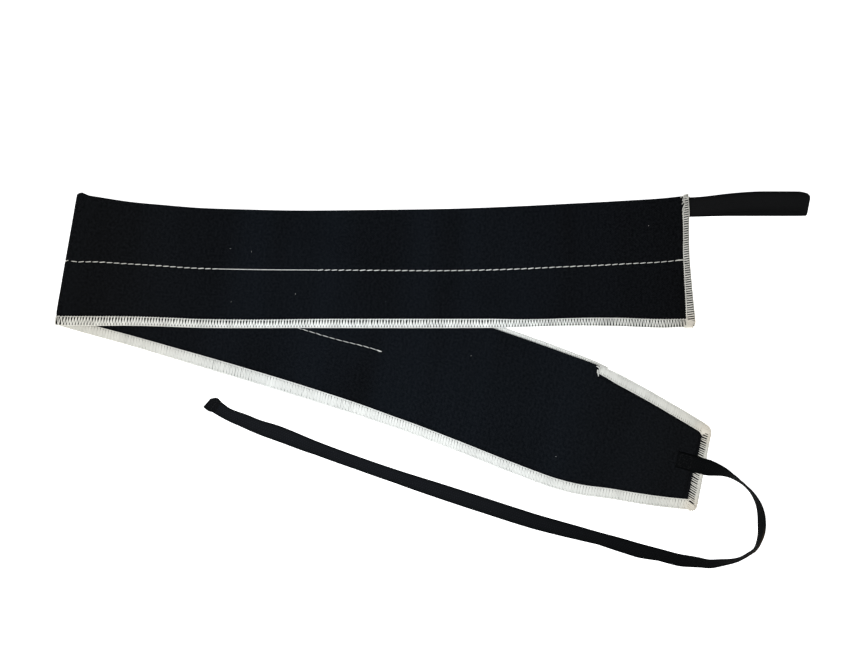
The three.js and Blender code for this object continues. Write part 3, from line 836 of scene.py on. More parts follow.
def plainLeg(name, face, radius):
    points = [(0, y, face * z) for y, z in ((5.9, 0.85), (4.4, 1.0), (1.2, 0.95), (0.0, 0.1))]
    return strand(name, points, [radius] * 4, 4)


# Short thread along the edge that overlaps its neighbours, so a row of them reads as a twisted line.
def bead(name, y, z, radius, rise, tilt):
    reach = edging["pitch"] * 0.8
    points = [(mix(-reach, reach, share), y + tilt * (share - 0.5), z + rise * math.sin(math.pi * share))
              for share in (0, 0.33, 0.67, 1)]
    return strand(name, points, [radius * size for size in (0.5, 1, 1, 0.5)])


# Which kinds of stitch have the shape, how it is made, and with what values
def edgingShapes():
    pitch, fine = edging["pitch"], edging["squareRadius"]
    thin, thick = edging["openRadius"], edging["denseRadius"]
    middle = pitch / 2
    table = {
        "Open leg": (only(openStitch), leg, 1, 0.02, 0.56, thin, 0.08),
        "Open return leg": (only(openStitch), leg, 1, pitch - 0.02, pitch - 0.56, thin, -0.04),
        "Square leg": (only(squareStitch), leg, 1, 0.12, 0.46, fine, 0.1),
        "Square return leg": (only(squareStitch), leg, 1, 0.4, 0.74, fine, 0.04),
        "Open border": (frontKinds, bead, 5.85, 1.12, 0.27, 0.14, 0.5),
        "Open tooth": (frontKinds, strand, [(0.1, 5.7, 1.0), (0.2, 6.2, 0.98), (0.26, 6.65, 0.8)],
                       [0.26, 0.2, 0.07], 4),
        "Open under leg": (frontKinds, plainLeg, -1, 0.54),
        "Open edge line": (frontKinds, bead, 0.1, 0.5, 0.24, 0.08, 0.12),
        "Dense leg": (only(denseStitch), leg, -1, 0.28, 0.34, thick, 0.03, evenPlump),
        "Dense return leg": (only(denseStitch), leg, -1, 1.04, 0.97, thick, 0, evenPlump),
        "Dense border": (only(denseStitch), bead, 5.95, -1.12, 0.3, -0.12, 0.2),
        "Dense under leg": (only(denseStitch), plainLeg, 1, 0.6),
        "Straight leg": (only(straightStitch), leg, -1, 0.1, 0, 0.36, 0.04, tautPlump),
        "Straight short leg": (only(straightStitch), strand, [
            (middle + 0.1, 2.1, -0.9), (middle, 1.6, -1.08), (middle, 1.0, -1.06), (middle, 0.2, -0.7),
            (middle, 0, 0)], [0.12, 0.3, 0.36, 0.36, 0.3]),
        "Straight under leg": (only(straightStitch), plainLeg, 1, 0.6),
        "Edge line": (edgedKinds, bead, 0.26, 0.64, 0.3, 0.08, 0.12),
        "Under edge line": (anyKind, bead, 0.28, -0.62, 0.3, -0.1, 0.12),
        "Low under leg": (only(belowStitch), strand,
                          [(0.65, 3.2, -0.42), (0.65, 0.9, -0.42), (0.65, 0.2, -0.4)], [0.5, 0.5, 0.42], 4),
        "Low leg": (only(belowStitch), strand, [(0.3, 3.2, 0), (0.3, 0.9, 0.02), (0.3, 0.1, -0.04)],
                    [0.36, 0.42, 0.38]),
        "Low return leg": (only(belowStitch), strand, [(0.95, 3.2, 0), (0.95, 0.9, 0), (0.95, 0.1, -0.02)],
                           [0.36, 0.42, 0.38]),
        "Low edge line": (only(belowStitch), bead, 0.06, 0, 0.3, 0.02, 0.04),
        "Corner leg": (only(cornerStitch), leg, 1, 0.33, 0.33, 0.34, 0.06, evenPlump),
        "Corner return leg": (only(cornerStitch), leg, 1, 1.0, 1.0, 0.34, 0.02, evenPlump),
        "Corner edge line": (only(cornerStitch), bead, 0.26, 0.6, 0.32, 0.08, 0.12),
        "Corner under leg": (only(cornerStitch), plainLeg, -1, 0.54),
    }
    return {label: (make(label, *values), kinds) for label, (kinds, make, *values) in table.items()}


# Geometry Nodes tree: put each shape at every stitch of its kind along an edge line.
def stitchTree(name, shapes):
    inputs = [("Stitch line", "NodeSocketGeometry"), ("Pitch", "NodeSocketFloat"),
              ("Size jitter", "NodeSocketFloat"), ("Turn jitter", "NodeSocketFloat"),
              ("Seed", "NodeSocketInt"), ("Thread", "NodeSocketMaterial")]
    inputs += [(label, "NodeSocketObject") for label in shapes]
    tree = newTree(name, "GeometryNodeTree", inputs, [("Stitches", "NodeSocketGeometry")])
    wiring = Wiring(tree)
    add, reckon, times, plus = wiring.add, wiring.math, wiring.times, wiring.plus

    def stored(label, kind):
        return add("GeometryNodeInputNamedAttribute", {"Name": label}, data_type=kind).outputs["Attribute"]

    def within(low, high, seed):
        return add("FunctionNodeRandomValue", {2: low, 3: high, "Seed": seed}, data_type="FLOAT").outputs[1]

    given = add("NodeGroupInput").outputs
    curve = add("GeometryNodeMeshToCurve", {"Mesh": given["Stitch line"]}).outputs["Curve"]
    spaced = add("GeometryNodeResampleCurve", {"Curve": curve, "Length": given["Pitch"]}, mode="LENGTH")
    axes = add("FunctionNodeAxesToRotation", {
        "Primary Axis": stored("inward", "FLOAT_VECTOR"), "Secondary Axis": stored("faceUp", "FLOAT_VECTOR"),
    }, primary_axis="Y", secondary_axis="Z").outputs["Rotation"]
    kind, reach, stretch = (stored(label, "FLOAT") for label in ("kind", "reach", "stretch"))
    isOpen = reckon("LESS_THAN", kind, openStitch + 0.5)
    isBelow = reckon("COMPARE", kind, float(belowStitch), 0.5)
    paleness = plus(threadTone["middle"], times(threadTone["paler"], plus(isOpen, isBelow)))
    spread = plus(threadTone["closeShare"], times(1 - threadTone["closeShare"], isOpen))
    smallest = reckon("SUBTRACT", 1.0, given["Size jitter"])
    largest = plus(1.0, given["Size jitter"])
    most = times(given["Turn jitter"], math.pi / 180)
    least = times(most, -1.0)
    gathered = add("GeometryNodeJoinGeometry")
    for number, (label, (_, kinds)) in enumerate(shapes.items()):
        seed = add("FunctionNodeIntegerMath", {0: given["Seed"], 1: number * 7}, operation="ADD").outputs[0]
        size = within(smallest, largest, seed)
        loose = add("ShaderNodeCombineXYZ", {"Z": within(least, most, seed)}).outputs["Vector"]
        turn = add("ShaderNodeVectorMath", {0: loose, "Scale": looseness.get(kinds, otherLooseness)},
                   operation="SCALE")
        turnedAxes = add("FunctionNodeRotateRotation", {
            "Rotation": axes, "Rotate By": turn.outputs["Vector"]}, rotation_space="LOCAL")
        scale = add("ShaderNodeCombineXYZ", {"X": times(size, stretch), "Y": reach, "Z": size})
        shape = add("GeometryNodeObjectInfo", {"Object": given[label]}, transform_space="ORIGINAL")
        low, high = kinds
        picked = times(reckon("GREATER_THAN", kind, low), reckon("LESS_THAN", kind, high))
        placed = add("GeometryNodeInstanceOnPoints", {
            "Points": spaced.outputs["Curve"], "Selection": picked, "Instance": shape.outputs["Geometry"],
            "Rotation": turnedAxes.outputs["Rotation"], "Scale": scale.outputs["Vector"]})
        off = within(-threadTone["spread"], threadTone["spread"], seed)
        toned = add("GeometryNodeStoreNamedAttribute", {
            "Geometry": placed.outputs["Instances"], "Name": "tone",
            "Value": plus(times(off, spread), paleness),
        }, data_type="FLOAT", domain="INSTANCE")
        tree.links.new(toned.outputs["Geometry"], gathered.inputs["Geometry"])
    real = add("GeometryNodeRealizeInstances", {"Geometry": gathered.outputs["Geometry"]})
    painted = add("GeometryNodeSetMaterial", {
        "Geometry": real.outputs["Geometry"], "Material": given["Thread"]})
    add("NodeGroupOutput", {"Stitches": painted.outputs["Geometry"]})
    return tree


# The line that stitches follow. Each station: point, inward, face up, then the numbers below.
stationNumbers = ("kind", "reach", "stretch")


def stitchLine(name, stations):
    mesh = bpy.data.meshes.new(name)
    mesh.from_pydata([point for point, *_ in stations], [(i, i + 1) for i in range(len(stations) - 1)], [])
    for label, column in (("inward", 1), ("faceUp", 2)):
        layer = mesh.attributes.new(label, "FLOAT_VECTOR", "POINT")
        layer.data.foreach_set("vector", [value for station in stations for value in station[column]])
    for column, label in enumerate(stationNumbers):
        layer = mesh.attributes.new(label, "FLOAT", "POINT")
        layer.data.foreach_set("value", [station[3][column] for station in stations])
    return linkPiece(name, mesh)


def sewAlong(name, stations, tree, shapes, values):
    piece = stitchLine(name, stations)
    modifier = piece.modifiers.new("stitches", "NODES")
    modifier.node_group = tree
    for socket in tree.interface.items_tree:
        if socket.in_out == "INPUT" and socket.name in values:
            modifier[socket.identifier] = values[socket.name]
        elif socket.in_out == "INPUT" and socket.name in shapes:
            modifier[socket.identifier] = shapes[socket.name][0]
    graph = bpy.context.evaluated_depsgraph_get()
    sewn = bpy.data.meshes.new_from_object(piece.evaluated_get(graph), preserve_all_data_layers=True,
                                           depsgraph=graph)
    line = piece.data
    piece.modifiers.clear()
    piece.data = sewn
    bpy.data.meshes.remove(line)
    sewn.name = name
    for label in ("inward", "faceUp", *stationNumbers):
        if label in sewn.attributes:
            sewn.attributes.remove(sewn.attributes[label])
    sewn.shade_smooth()
    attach(piece, "root")
    print(name, len(piece.data.polygons))
    return piece


def bunching(place):
    return 1 + edging["bunching"] * noise.noise(Vector((place / edging["bunchLength"], 0.3, 5.5)))


# outer and inner are plan points, outer on the edge's outline
def edgeStation(outer, inner, turn, kind, reach, place, stretch=1):
    start = clothPoint(outer, turn, 0)
    inward = (clothPoint(outer.lerp(inner, 0.5), turn, 0) - start).normalized()
    up = (clothPoint(outer, turn, 1) - start).normalized()
    return (start, inward, up, (kind, reach, bunching(place) * stretch))


# place along the strip, and how wide its threads are there: loose at the square end, closer after it
looseStretch = [
    (0, 0.92), (8, 0.94), (13, 1.1), (60, 1.14), (95, 1.3), (140, 1.46), (330, 1.46), (370, 1.3), (760, 1.3),
]


def longEdgeStations():
    stations = []
    overlap = 0.6  # the edgings of the ends lie over this one's first and last threads
    first = threadReach * squareReachLow - overlap
    last = stripLength - threadReach * tipReach + overlap
    count = round((last - first) / edging["stationStep"])
    for step in range(count + 1):
        place = mix(first, last, step / count)
        row = stripRow(place)
        inner = across(row, rowWidth(row) - edging["width"])
        kind = mix(openStitch, denseStitch, clamp((place - topSpan) / foldArc))
        stretch = readColumn(looseStretch, 1, place)
        reach = readColumn(longReach, 1, place)
        stations.append(edgeStation(row["sewn"], inner, row["turn"], kind, reach, place, stretch))
    return stations


squareSewing = {
    "steps": 64,
    "cornerFrom": 0.955,      # share of the end where the threads of the corner start
    "roundFrom": 0.965,
    "roundDepth": 1.5,
    "stretch": 1.15,
    "firstPlace": 900,        # so that its bunching is its own
}


def squareStations():
    edge, inner = stripRow(0), stripRow(edging["width"])
    steps, cornerFrom, roundFrom = (squareSewing[name] for name in ("steps", "cornerFrom", "roundFrom"))
    sharp = 0.0001  # two stations so close that no kind lies between them
    stations = []
    shares = [*(step / steps for step in range(steps + 1)), cornerFrom - sharp, cornerFrom + sharp]
    for share in sorted(shares):
        outer = edge["folded"].lerp(edge["sewn"], share)
        inside = inner["folded"].lerp(inner["sewn"], share)
        rounding = squareSewing["roundDepth"] * clamp((share - roundFrom) / (1 - roundFrom)) ** 2
        outer = outer + (inside - outer).normalized() * rounding
        kind, stretch = (cornerStitch, 1) if share > cornerFrom else (squareStitch, squareSewing["stretch"])
        reach = readColumn(squareBow, bowReachColumn, share)
        place = squareSewing["firstPlace"] + share * steps
        stations.append(edgeStation(outer, inside, 0, kind, reach, place, stretch))
    return stations


tipSewing = {
    "taperSteps": 60,
    "widenSteps": 14,         # the taper's edging starts narrower
    "startShare": 0.82,
    "foldedSteps": 7,
    "bulge": 0.13,            # longer threads round the folded corner
    "tipSteps": 40,
    "sewnSteps": 5,
    "sewnTurn": 9,            # steps that a whole quarter turn would take inside the sewn corner
    "lean": 0.04,             # threads across the tip point a little to its middle
    "firstPlace": 1000,
}


def tipStations():
    width, corner = edging["width"], tipCorners["folded"]
    stations = []

    def push(outer, inner, kind, reach):
        place = tipSewing["firstPlace"] + len(stations) * edging["stationStep"]
        stations.append(edgeStation(outer, inner, math.pi, kind, reach, place))

    start, end = strip["edgedFrom"] * strip["lowerLength"], strip["lowerLength"] - width
    for step in range(tipSewing["taperSteps"] + 1):
        row = rowOn(lowerRun, mix(start, end, step / tipSewing["taperSteps"]), math.pi)
        widened = mix(tipSewing["startShare"], 1, ease(step / tipSewing["widenSteps"]))
        push(row["folded"], across(row, width), denseStitch, taperReach * widened)
    steps = tipSewing["foldedSteps"]
    for step in range(1, steps):
        angle = step / steps * math.pi / 2
        outer = nearTip(corner * (1 - math.sin(angle)), corner * (1 - math.cos(angle)))
        bulge = 1 + tipSewing["bulge"] * math.sin(math.pi * step / steps)
        kind = denseStitch if step < steps / 2 + 0.5 else straightStitch
        push(outer, nearTip(width, width), kind, mix(taperReach, tipReach, step / steps) * bulge)
    fullWidth = rowWidth(rowOn(lowerRun, strip["lowerLength"]))
    for step in range(tipSewing["tipSteps"] + 1):
        share = step / tipSewing["tipSteps"]
        at = mix(corner, fullWidth - tipCorners["sewn"], share)
        kind = denseStitch if share == 1 else straightStitch
        inner = nearTip(width, mix(at, fullWidth / 2, tipSewing["lean"]))
        push(nearTip(0, at), inner, kind, tipReachAt(share))
    corner, steps = tipCorners["sewn"], tipSewing["sewnSteps"]
    for step in range(1, steps + 1):
        angle = step / steps * math.pi / 2
        outer = nearTip(corner * (1 - math.cos(angle)), None, corner * (1 - math.sin(angle)))
        inner = nearTip(width, None, width * (1 - step / tipSewing["sewnTurn"]))
        push(outer, inner, denseStitch, tipReach)
    return stations


# The plain edge of the lower run has rolled over its edging, which shows as a narrow white line.
lowLine = {
    "start": 190,             # centre along the lower run, in millimetres
    "endBeyond": 4,
    "steps": 110,
    "height": 0.95,
    # share of the way, and how far it shows
    "shows": [(0, 2.3), (0.35, 2.3), (0.6, 1.9), (0.74, 1.8), (0.85, 1.5), (1, 0.9)],
}


def lowStations():
    stations = []
    end = strip["edgedFrom"] * strip["lowerLength"] + lowLine["endBeyond"]
    for step in range(lowLine["steps"] + 1):
        share = step / lowLine["steps"]
        row = rowOn(lowerRun, mix(lowLine["start"], end, share), math.pi)
        inward = (row["sewn"] - row["folded"]).normalized()
        out = row["folded"] - inward * readColumn(lowLine["shows"], 1, share)
        start = inFrame(out.x, out.y, lowLine["height"])
        numbers = (belowStitch, 1, bunching(step))
        stations.append((start, Vector((inward.x, inward.y, 0)), Vector((0, 0, -1)), numbers))
    return stations


# Materials
# Over-and-under weave on UV: yarns across and along, in yarns per centimetre.
def weaveGroup():
    group = newTree("weave", "ShaderNodeTree", [
        ("Vector", "NodeSocketVector"), ("Across per cm", "NodeSocketFloat", 12.0),
        ("Along per cm", "NodeSocketFloat", 12.0),
    ], [("Height", "NodeSocketFloat"), ("Shade", "NodeSocketFloat")])
    wiring = Wiring(group)
    given = wiring.add("NodeGroupInput").outputs
    split = wiring.split(given["Vector"])
    yarns = [wiring.times(split[axis], given[count])
             for axis, count in (("X", "Across per cm"), ("Y", "Along per cm"))]
    cells = wiring.plus(*(wiring.math("FLOOR", yarn) for yarn in yarns))
    over = wiring.math("PINGPONG", cells, 1.0)
    waves = [wiring.math("SINE", wiring.times(yarn, math.pi)) for yarn in yarns]
    warp, weft = (wiring.math("ABSOLUTE", wave) for wave in waves)
    picked = wiring.plus(wiring.times(warp, over), wiring.times(weft, wiring.math("SUBTRACT", 1.0, over)))
    height = wiring.times(wiring.plus(picked, wiring.times(warp, weft)), 0.5)
    wiring.add("NodeGroupOutput", {"Height": height, "Shade": wiring.times(over, warp)})
    return group


lintLook = {
    "speckSize": (0.006, 0.03),   # shares of a cell: the smallest, and how much larger the others are
    "mottle": (16.0, 3.0, 0.55),  # scale, detail, roughness
    "mottleSeen": (0.3, 0.7),
}


# Few pale specks of lint, and a soft mottle, both fixed to the piece.
def lintGroup():
    group = newTree("lintAndMottle", "ShaderNodeTree", [
        ("Vector", "NodeSocketVector"), ("Specks per metre", "NodeSocketFloat", 70.0),
        ("Speck share", "NodeSocketFloat", 0.12),
    ], [("Lint", "NodeSocketFloat"), ("Mottle", "NodeSocketFloat")])
    wiring = Wiring(group)
    given = wiring.add("NodeGroupInput").outputs
    cells = wiring.add("ShaderNodeTexVoronoi", {
        "Vector": given["Vector"], "Scale": given["Specks per metre"], "Randomness": 1.0,
    }, feature="F1", voronoi_dimensions="3D").outputs
    chance = wiring.add("ShaderNodeSeparateColor", {"Color": cells["Color"]}).outputs
    picked = wiring.math("LESS_THAN", chance[0], given["Speck share"])
    smallest, larger = lintLook["speckSize"]
    size = wiring.plus(wiring.times(chance[1], larger), smallest)
    near = wiring.math("LESS_THAN", cells["Distance"], size)
    mottle = wiring.ramp(wiring.noise(given["Vector"], *lintLook["mottle"]), *lintLook["mottleSeen"])
    wiring.add("NodeGroupOutput", {"Lint": wiring.times(picked, near), "Mottle": mottle})
    return group


weave = weaveGroup()
lint = lintGroup()
black = (0, 0, 0, 1)


def newMaterial(name, settings):
    material = bpy.data.materials.new(name)
    material.use_nodes = True
    material.node_tree.nodes.clear()
    wiring = Wiring(material.node_tree)
    shader = wiring.add("ShaderNodeBsdfPrincipled", settings)
    wiring.add("ShaderNodeOutputMaterial", {"Surface": shader.outputs["BSDF"]})
    return material, wiring, shader


def addWeave(wiring, spot, yarns):
    return wiring.add("ShaderNodeGroup", {
        "Vector": spot["UV"], "Across per cm": yarns[0], "Along per cm": yarns[1]}, node_tree=weave).outputs


def addLint(wiring, spot, **share):
    return wiring.add("ShaderNodeGroup", {"Vector": spot["Object"], **share}, node_tree=lint).outputs


# A value that the mesh carries under this name.
def meshValue(wiring, name):
    node = wiring.add("ShaderNodeAttribute", attribute_name=name, attribute_type="GEOMETRY")
    return node.outputs["Fac"]


clothLook = {
    "gloss": {"Specular IOR Level": 0.015, "Roughness": 0.85},
    "yarns": (15.0, 13.0),    # per centimetre, across and along
    "fuzz": (7.0, 4.0, 0.8),  # scale, detail, roughness
    "fuzzSeen": (0.4, 0.62),
    "paintedShadeBands": (1.0, 1.5),      # scale, detail
    "paintedShadeBandScale": (0.03, 0.3, 1.0),   # painted shade: long soft light and dark bands along the strip
    "paintedShadeBandSeen": (0.38, 0.62),
    "dark": (0.0017, 0.0018, 0.002, 1),
    "light": (0.0042, 0.0047, 0.0055, 1),
    "yarnTip": (0.0108, 0.0114, 0.013, 1),
    # painted shade colour of the creases and the seam's dip
    "crease": (0.0005, 0.0005, 0.0006, 1),
    "lint": (0.4, 0.42, 0.42, 1),
    "paintedCoolLightMiddle": (1.08, 1.5, 1.98, 1),   # painted cool light: makes the colour brighter and bluer round the middle of the wrap
    "paintedLightReach": (-0.02, 0.17, 0.08),   # centre on X, where it ends and where it is full, in metres
    "paintedShadeRight": (0.5, 0.54, 0.6, 1),    # painted shade: darker at the top run's right end
    "paintedShadeReach": ((0.04, 0.12), (0.0, 0.02)),
    "mottleShare": 0.6,
    "weaveShare": 0.35,
    "fuzzShare": 0.75,
    "groundDarker": 0.6,      # between the yarns
    "tipShare": 0.5,
    "lintShare": 0.35,
    "paintedCreaseShadeShare": 0.4,
    "fuzzRelief": 0.8,
    "bump": (0.6, 0.00012),
}


def clothMaterial():
    look = clothLook
    material, wiring, shader = newMaterial("blackCloth", look["gloss"])
    spot = wiring.add("ShaderNodeTexCoord").outputs
    woven = addWeave(wiring, spot, look["yarns"])
    dusty = addLint(wiring, spot)
    fuzz = wiring.noise(spot["UV"], *look["fuzz"])
    # painted shade: soft light and dark bands along the strip stand in for its gentle undulations
    stretched = wiring.add("ShaderNodeMapping", {"Vector": spot["UV"], "Scale": look["paintedShadeBandScale"]})
    paintedShadeBands = wiring.noise(stretched.outputs["Vector"], *look["paintedShadeBands"])
    colour = wiring.blend(wiring.ramp(paintedShadeBands, *look["paintedShadeBandSeen"]), look["dark"], look["light"])
    colour = wiring.blend(wiring.times(dusty["Mottle"], look["mottleShare"]), colour, look["light"])
    split = wiring.split(spot["Object"])
    centre, outside, inside = look["paintedLightReach"]
    # painted light: brighter and bluer round the middle of the wrap
    middle = wiring.ramp(wiring.math("ABSOLUTE", wiring.plus(split["X"], -centre)), outside, inside)
    colour = wiring.blend(middle, colour, look["paintedCoolLightMiddle"], "MULTIPLY")
    # painted shade: darker towards the top run's right end
    right, upper = (wiring.ramp(split[axis], *reach) for axis, reach in zip("XY", look["paintedShadeReach"]))
    colour = wiring.blend(wiring.times(right, upper), colour, look["paintedShadeRight"], "MULTIPLY")
    speckle = wiring.ramp(fuzz, *look["fuzzSeen"])
    woolly = wiring.times(speckle, look["fuzzShare"])
    yarn = wiring.plus(wiring.times(woven["Shade"], look["weaveShare"]), woolly)
    ground = wiring.blend(look["groundDarker"], colour, black)
    tips = wiring.blend(look["tipShare"], colour, look["yarnTip"])
    colour = wiring.blend(yarn, ground, tips)
    colour = wiring.blend(wiring.times(dusty["Lint"], look["lintShare"]), colour, look["lint"])
    # painted shade: the creases beside the threads and the seam's dip are darkened
    shade = wiring.times(meshValue(wiring, "shade"), look["paintedCreaseShadeShare"])
    wiring.feed(wiring.blend(shade, colour, look["crease"]), shader.inputs["Base Color"])
    relief = wiring.plus(woven["Height"], wiring.times(fuzz, look["fuzzRelief"]))
    wiring.bump(shader, relief, *look["bump"])
    return material


# Thread: each stitch has its own tone, handling has soiled the corners, and painted shade makes it darker
# and warmer towards both ends.
threadLook = {
    "gloss": {"Specular IOR Level": 0.12, "Roughness": 0.8},
    "dust": (90.0, 3.0),      # scale, detail
    "dustSeen": (0.3, 0.7),
    "dustShare": 0.14,
    "dustDarker": 0.5,
    "fibre": (2600.0, 2.0),
    "fibreRelief": 0.8,
    "twistsPerMetre": 1400.0,
    "twist": {"Scale": 2.2, "Distortion": 0.6},
    "bump": (0.4, 0.00006),
}
soilAndPaintedShade = {
    # place and radius, in metres
    "spots": [((0.1525, 0.0165, 0.004), 0.009), ((0.1625, -0.0465, 0.001), 0.012),
              ((0.1515, -0.0905, 0.001), 0.008)],
    "core": 0.3,
    "share": 0.6,
    "colour": (0.62, 0.55, 0.46, 1),
    # painted shade and warm light towards the ends: where it starts and where it is full on X, and what it
    # multiplies the thread's colour by
    "sides": [(-0.1, -0.2, (0.87, 0.83, 0.77, 1)), (0.05, 0.11, (0.86, 0.845, 0.82, 1)),
              (0.122, 0.15, (0.95, 0.93, 0.9, 1))],
}


def threadMaterial(name, dark, light, soiledAndShaded):
    look = threadLook
    material, wiring, shader = newMaterial(name, look["gloss"])
    spot = wiring.add("ShaderNodeTexCoord").outputs
    tone = meshValue(wiring, "tone")
    dusty = wiring.ramp(wiring.noise(spot["Object"], *look["dust"]), *look["dustSeen"])
    fibre = wiring.noise(spot["Object"], *look["fibre"])
    colour = wiring.blend(tone, dark, light)
    darker = wiring.blend(look["dustDarker"], dark, black)
    colour = wiring.blend(wiring.times(dusty, look["dustShare"]), colour, darker)
    if soiledAndShaded:
        split = wiring.split(spot["Object"])
        # painted shade: darker and warmer towards both ends
        for start, full, tint in soilAndPaintedShade["sides"]:
            colour = wiring.blend(wiring.ramp(split["X"], start, full), colour, tint, "MULTIPLY")
        for place, radius in soilAndPaintedShade["spots"]:
            near = wiring.near(spot["Object"], place, radius, soilAndPaintedShade["core"])
            colour = wiring.blend(wiring.times(near, soilAndPaintedShade["share"]), colour, soilAndPaintedShade["colour"])
    wiring.feed(colour, shader.inputs["Base Color"])
    stretched = wiring.add("ShaderNodeMapping", {
        "Vector": spot["UV"], "Scale": (1.0, look["twistsPerMetre"], 1.0)})
    twist = wiring.add("ShaderNodeTexWave", {"Vector": stretched.outputs["Vector"], **look["twist"]},
                       wave_type="BANDS", bands_direction="DIAGONAL").outputs["Fac"]
    wiring.bump(shader, wiring.plus(twist, wiring.times(fibre, look["fibreRelief"])), *look["bump"])
    return material


tapeLook = {
    "gloss": {"Specular IOR Level": 0.012, "Roughness": 0.8},
    "fuzz": (12.0, 4.0, 0.7),
    "lint": (0.4, 0.4, 0.4, 1),
    "speckShare": 0.08,
    "weaveShare": 0.6,
    "fuzzShare": 0.9,
    "tipsSeen": (0.15, 1.25),
    "selvage": (0.006, 0.03),    # where it ends and the woven middle is full, by the tape's width
    "selvageShine": 0.35,        # share of the yarn tips that the selvage keeps
    "mottleShare": 0.25,
    "lintShare": 0.3,
    "fuzzRelief": 0.4,
    # painted shade: the tapes get darker towards the right
    "paintedShadeTint": (0.36, 0.35, 0.31, 1),
    "paintedShadeReach": (-0.02, 0.15),
    "bump": (0.7, 0.0002),
    "paintedGlintPlace": (0.191, -0.113, 0.008),  # painted highlight: the outer selvage is lighter brown in the bend
    "paintedGlintReach": 0.012,
    "paintedGlintCore": 0.4,
    "paintedGlintColour": (0.03, 0.021, 0.014, 1),
}


def tapeMaterial(name, yarns, base, tip, width, withPaintedGlint):
    look = tapeLook
    material, wiring, shader = newMaterial(name, look["gloss"])
    spot = wiring.add("ShaderNodeTexCoord").outputs
    woven = addWeave(wiring, spot, yarns)
    dusty = addLint(wiring, spot, **{"Speck share": look["speckShare"]})
    fuzz = wiring.noise(spot["UV"], *look["fuzz"])
    # u runs from 0 to the width on the upper face, and back on the lower one
    side = wiring.math("PINGPONG", wiring.split(spot["UV"])["X"], width * mmInCm)
    edge = wiring.math("PINGPONG", side, width * mmInCm / 2)
    middle = wiring.ramp(edge, *(width * reach for reach in look["selvage"]))
    woolly = wiring.times(fuzz, look["fuzzShare"])
    lifted = wiring.plus(wiring.times(woven["Shade"], look["weaveShare"]), woolly)
    shine = wiring.plus(look["selvageShine"], wiring.times(middle, 1 - look["selvageShine"]))
    colour = wiring.blend(wiring.times(wiring.ramp(lifted, *look["tipsSeen"]), shine), base, tip)
    colour = wiring.blend(wiring.times(dusty["Mottle"], look["mottleShare"]), colour, tip)
    colour = wiring.blend(wiring.times(dusty["Lint"], look["lintShare"]), colour, look["lint"])
    # painted shade: darker towards the right
    paintedShadeToRight = wiring.ramp(wiring.split(spot["Object"])["X"], *look["paintedShadeReach"])
    colour = wiring.blend(paintedShadeToRight, colour, look["paintedShadeTint"], "MULTIPLY")
    # painted highlight: a lighter brown glint on the outer selvage in the bend
    if withPaintedGlint:
        near = wiring.near(spot["Object"], look["paintedGlintPlace"], look["paintedGlintReach"], look["paintedGlintCore"])
        paintedGlintMask = wiring.times(near, wiring.math("SUBTRACT", 1.0, middle))
        colour = wiring.blend(paintedGlintMask, colour, look["paintedGlintColour"])
    wiring.feed(colour, shader.inputs["Base Color"])
    relief = wiring.plus(woven["Height"], wiring.times(fuzz, look["fuzzRelief"]))
    wiring.bump(shader, relief, *look["bump"])
    return material


# darkest and palest tone of the thread, and whether it gets the soiled corners and the painted shade at its
# ends
threads = {name: threadMaterial(name, *values) for name, values in {
    "whiteThread": ((0.58, 0.585, 0.57, 1), (0.87, 0.875, 0.86, 1), True),
    "greyThread": ((0.58, 0.585, 0.575, 1), (0.68, 0.685, 0.675, 1), True),
    "blackThread": ((0.005, 0.005, 0.0055, 1), (0.009, 0.009, 0.01, 1), False),
    # paler than the black thread, as a painted highlight along the hem's crease
    "hemHighlightThread": ((0.012, 0.012, 0.013, 1), (0.03, 0.03, 0.032, 1), False),
}.items()}
# yarns per centimetre across and along, ground and yarn tips, the tape's width, and whether it has the
# painted highlight in the bend
tieYarns, tieWide = (9.0, 14.0), tie["freeWidth"]
weaves = {name: tapeMaterial(name, *values) for name, values in {
    "tieWeave": (tieYarns, (0.003, 0.0033, 0.004, 1), (0.0125, 0.0138, 0.0168, 1), tieWide, True),
    "anchorWeave": (tieYarns, (0.0036, 0.004, 0.0048, 1), (0.0118, 0.0131, 0.0164, 1), tieWide, False),
    "hemWeave": (tieYarns, (0.002, 0.0021, 0.0024, 1), (0.0085, 0.009, 0.0102, 1), tieWide, False),
    "loopWeave": ((11.0, 16.0), (0.0073, 0.0076, 0.0091, 1), (0.028, 0.0288, 0.0343, 1), tape["loopWidth"],
                  False),
}.items()}
wrapCloth.data.materials.append(clothMaterial())
tieTape.data.materials.append(weaves["tieWeave"])
print("materials done")

# Sew the edgings
edgingPieces = edgingShapes()
edgingTree = stitchTree("edgingStitches", edgingPieces)


def sewEdging(name, stations, pitch, seed):
    return sewAlong(name, stations, edgingTree, edgingPieces, {
        "Pitch": pitch * mm,
        "Size jitter": edging["sizeJitter"],
        "Turn jitter": edging["turnJitter"],
        "Seed": seed,
        "Thread": threads["whiteThread"],
    })


longEdging = sewEdging("longEdging", longEdgeStations(), edging["longPitch"], edging["seed"])
squareEdging = sewEdging("squareEdging", squareStations(), edging["squarePitch"], edging["seed"] + 1)
tipEdging = sewEdging("tipEdging", tipStations(), edging["pitch"], edging["seed"] + 2)
underEdging = sewEdging("underEdging", lowStations(), edging["pitch"], edging["seed"] + 3)
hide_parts("overlock_long_edge")
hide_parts("overlock_square_end")
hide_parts("overlock_tip")

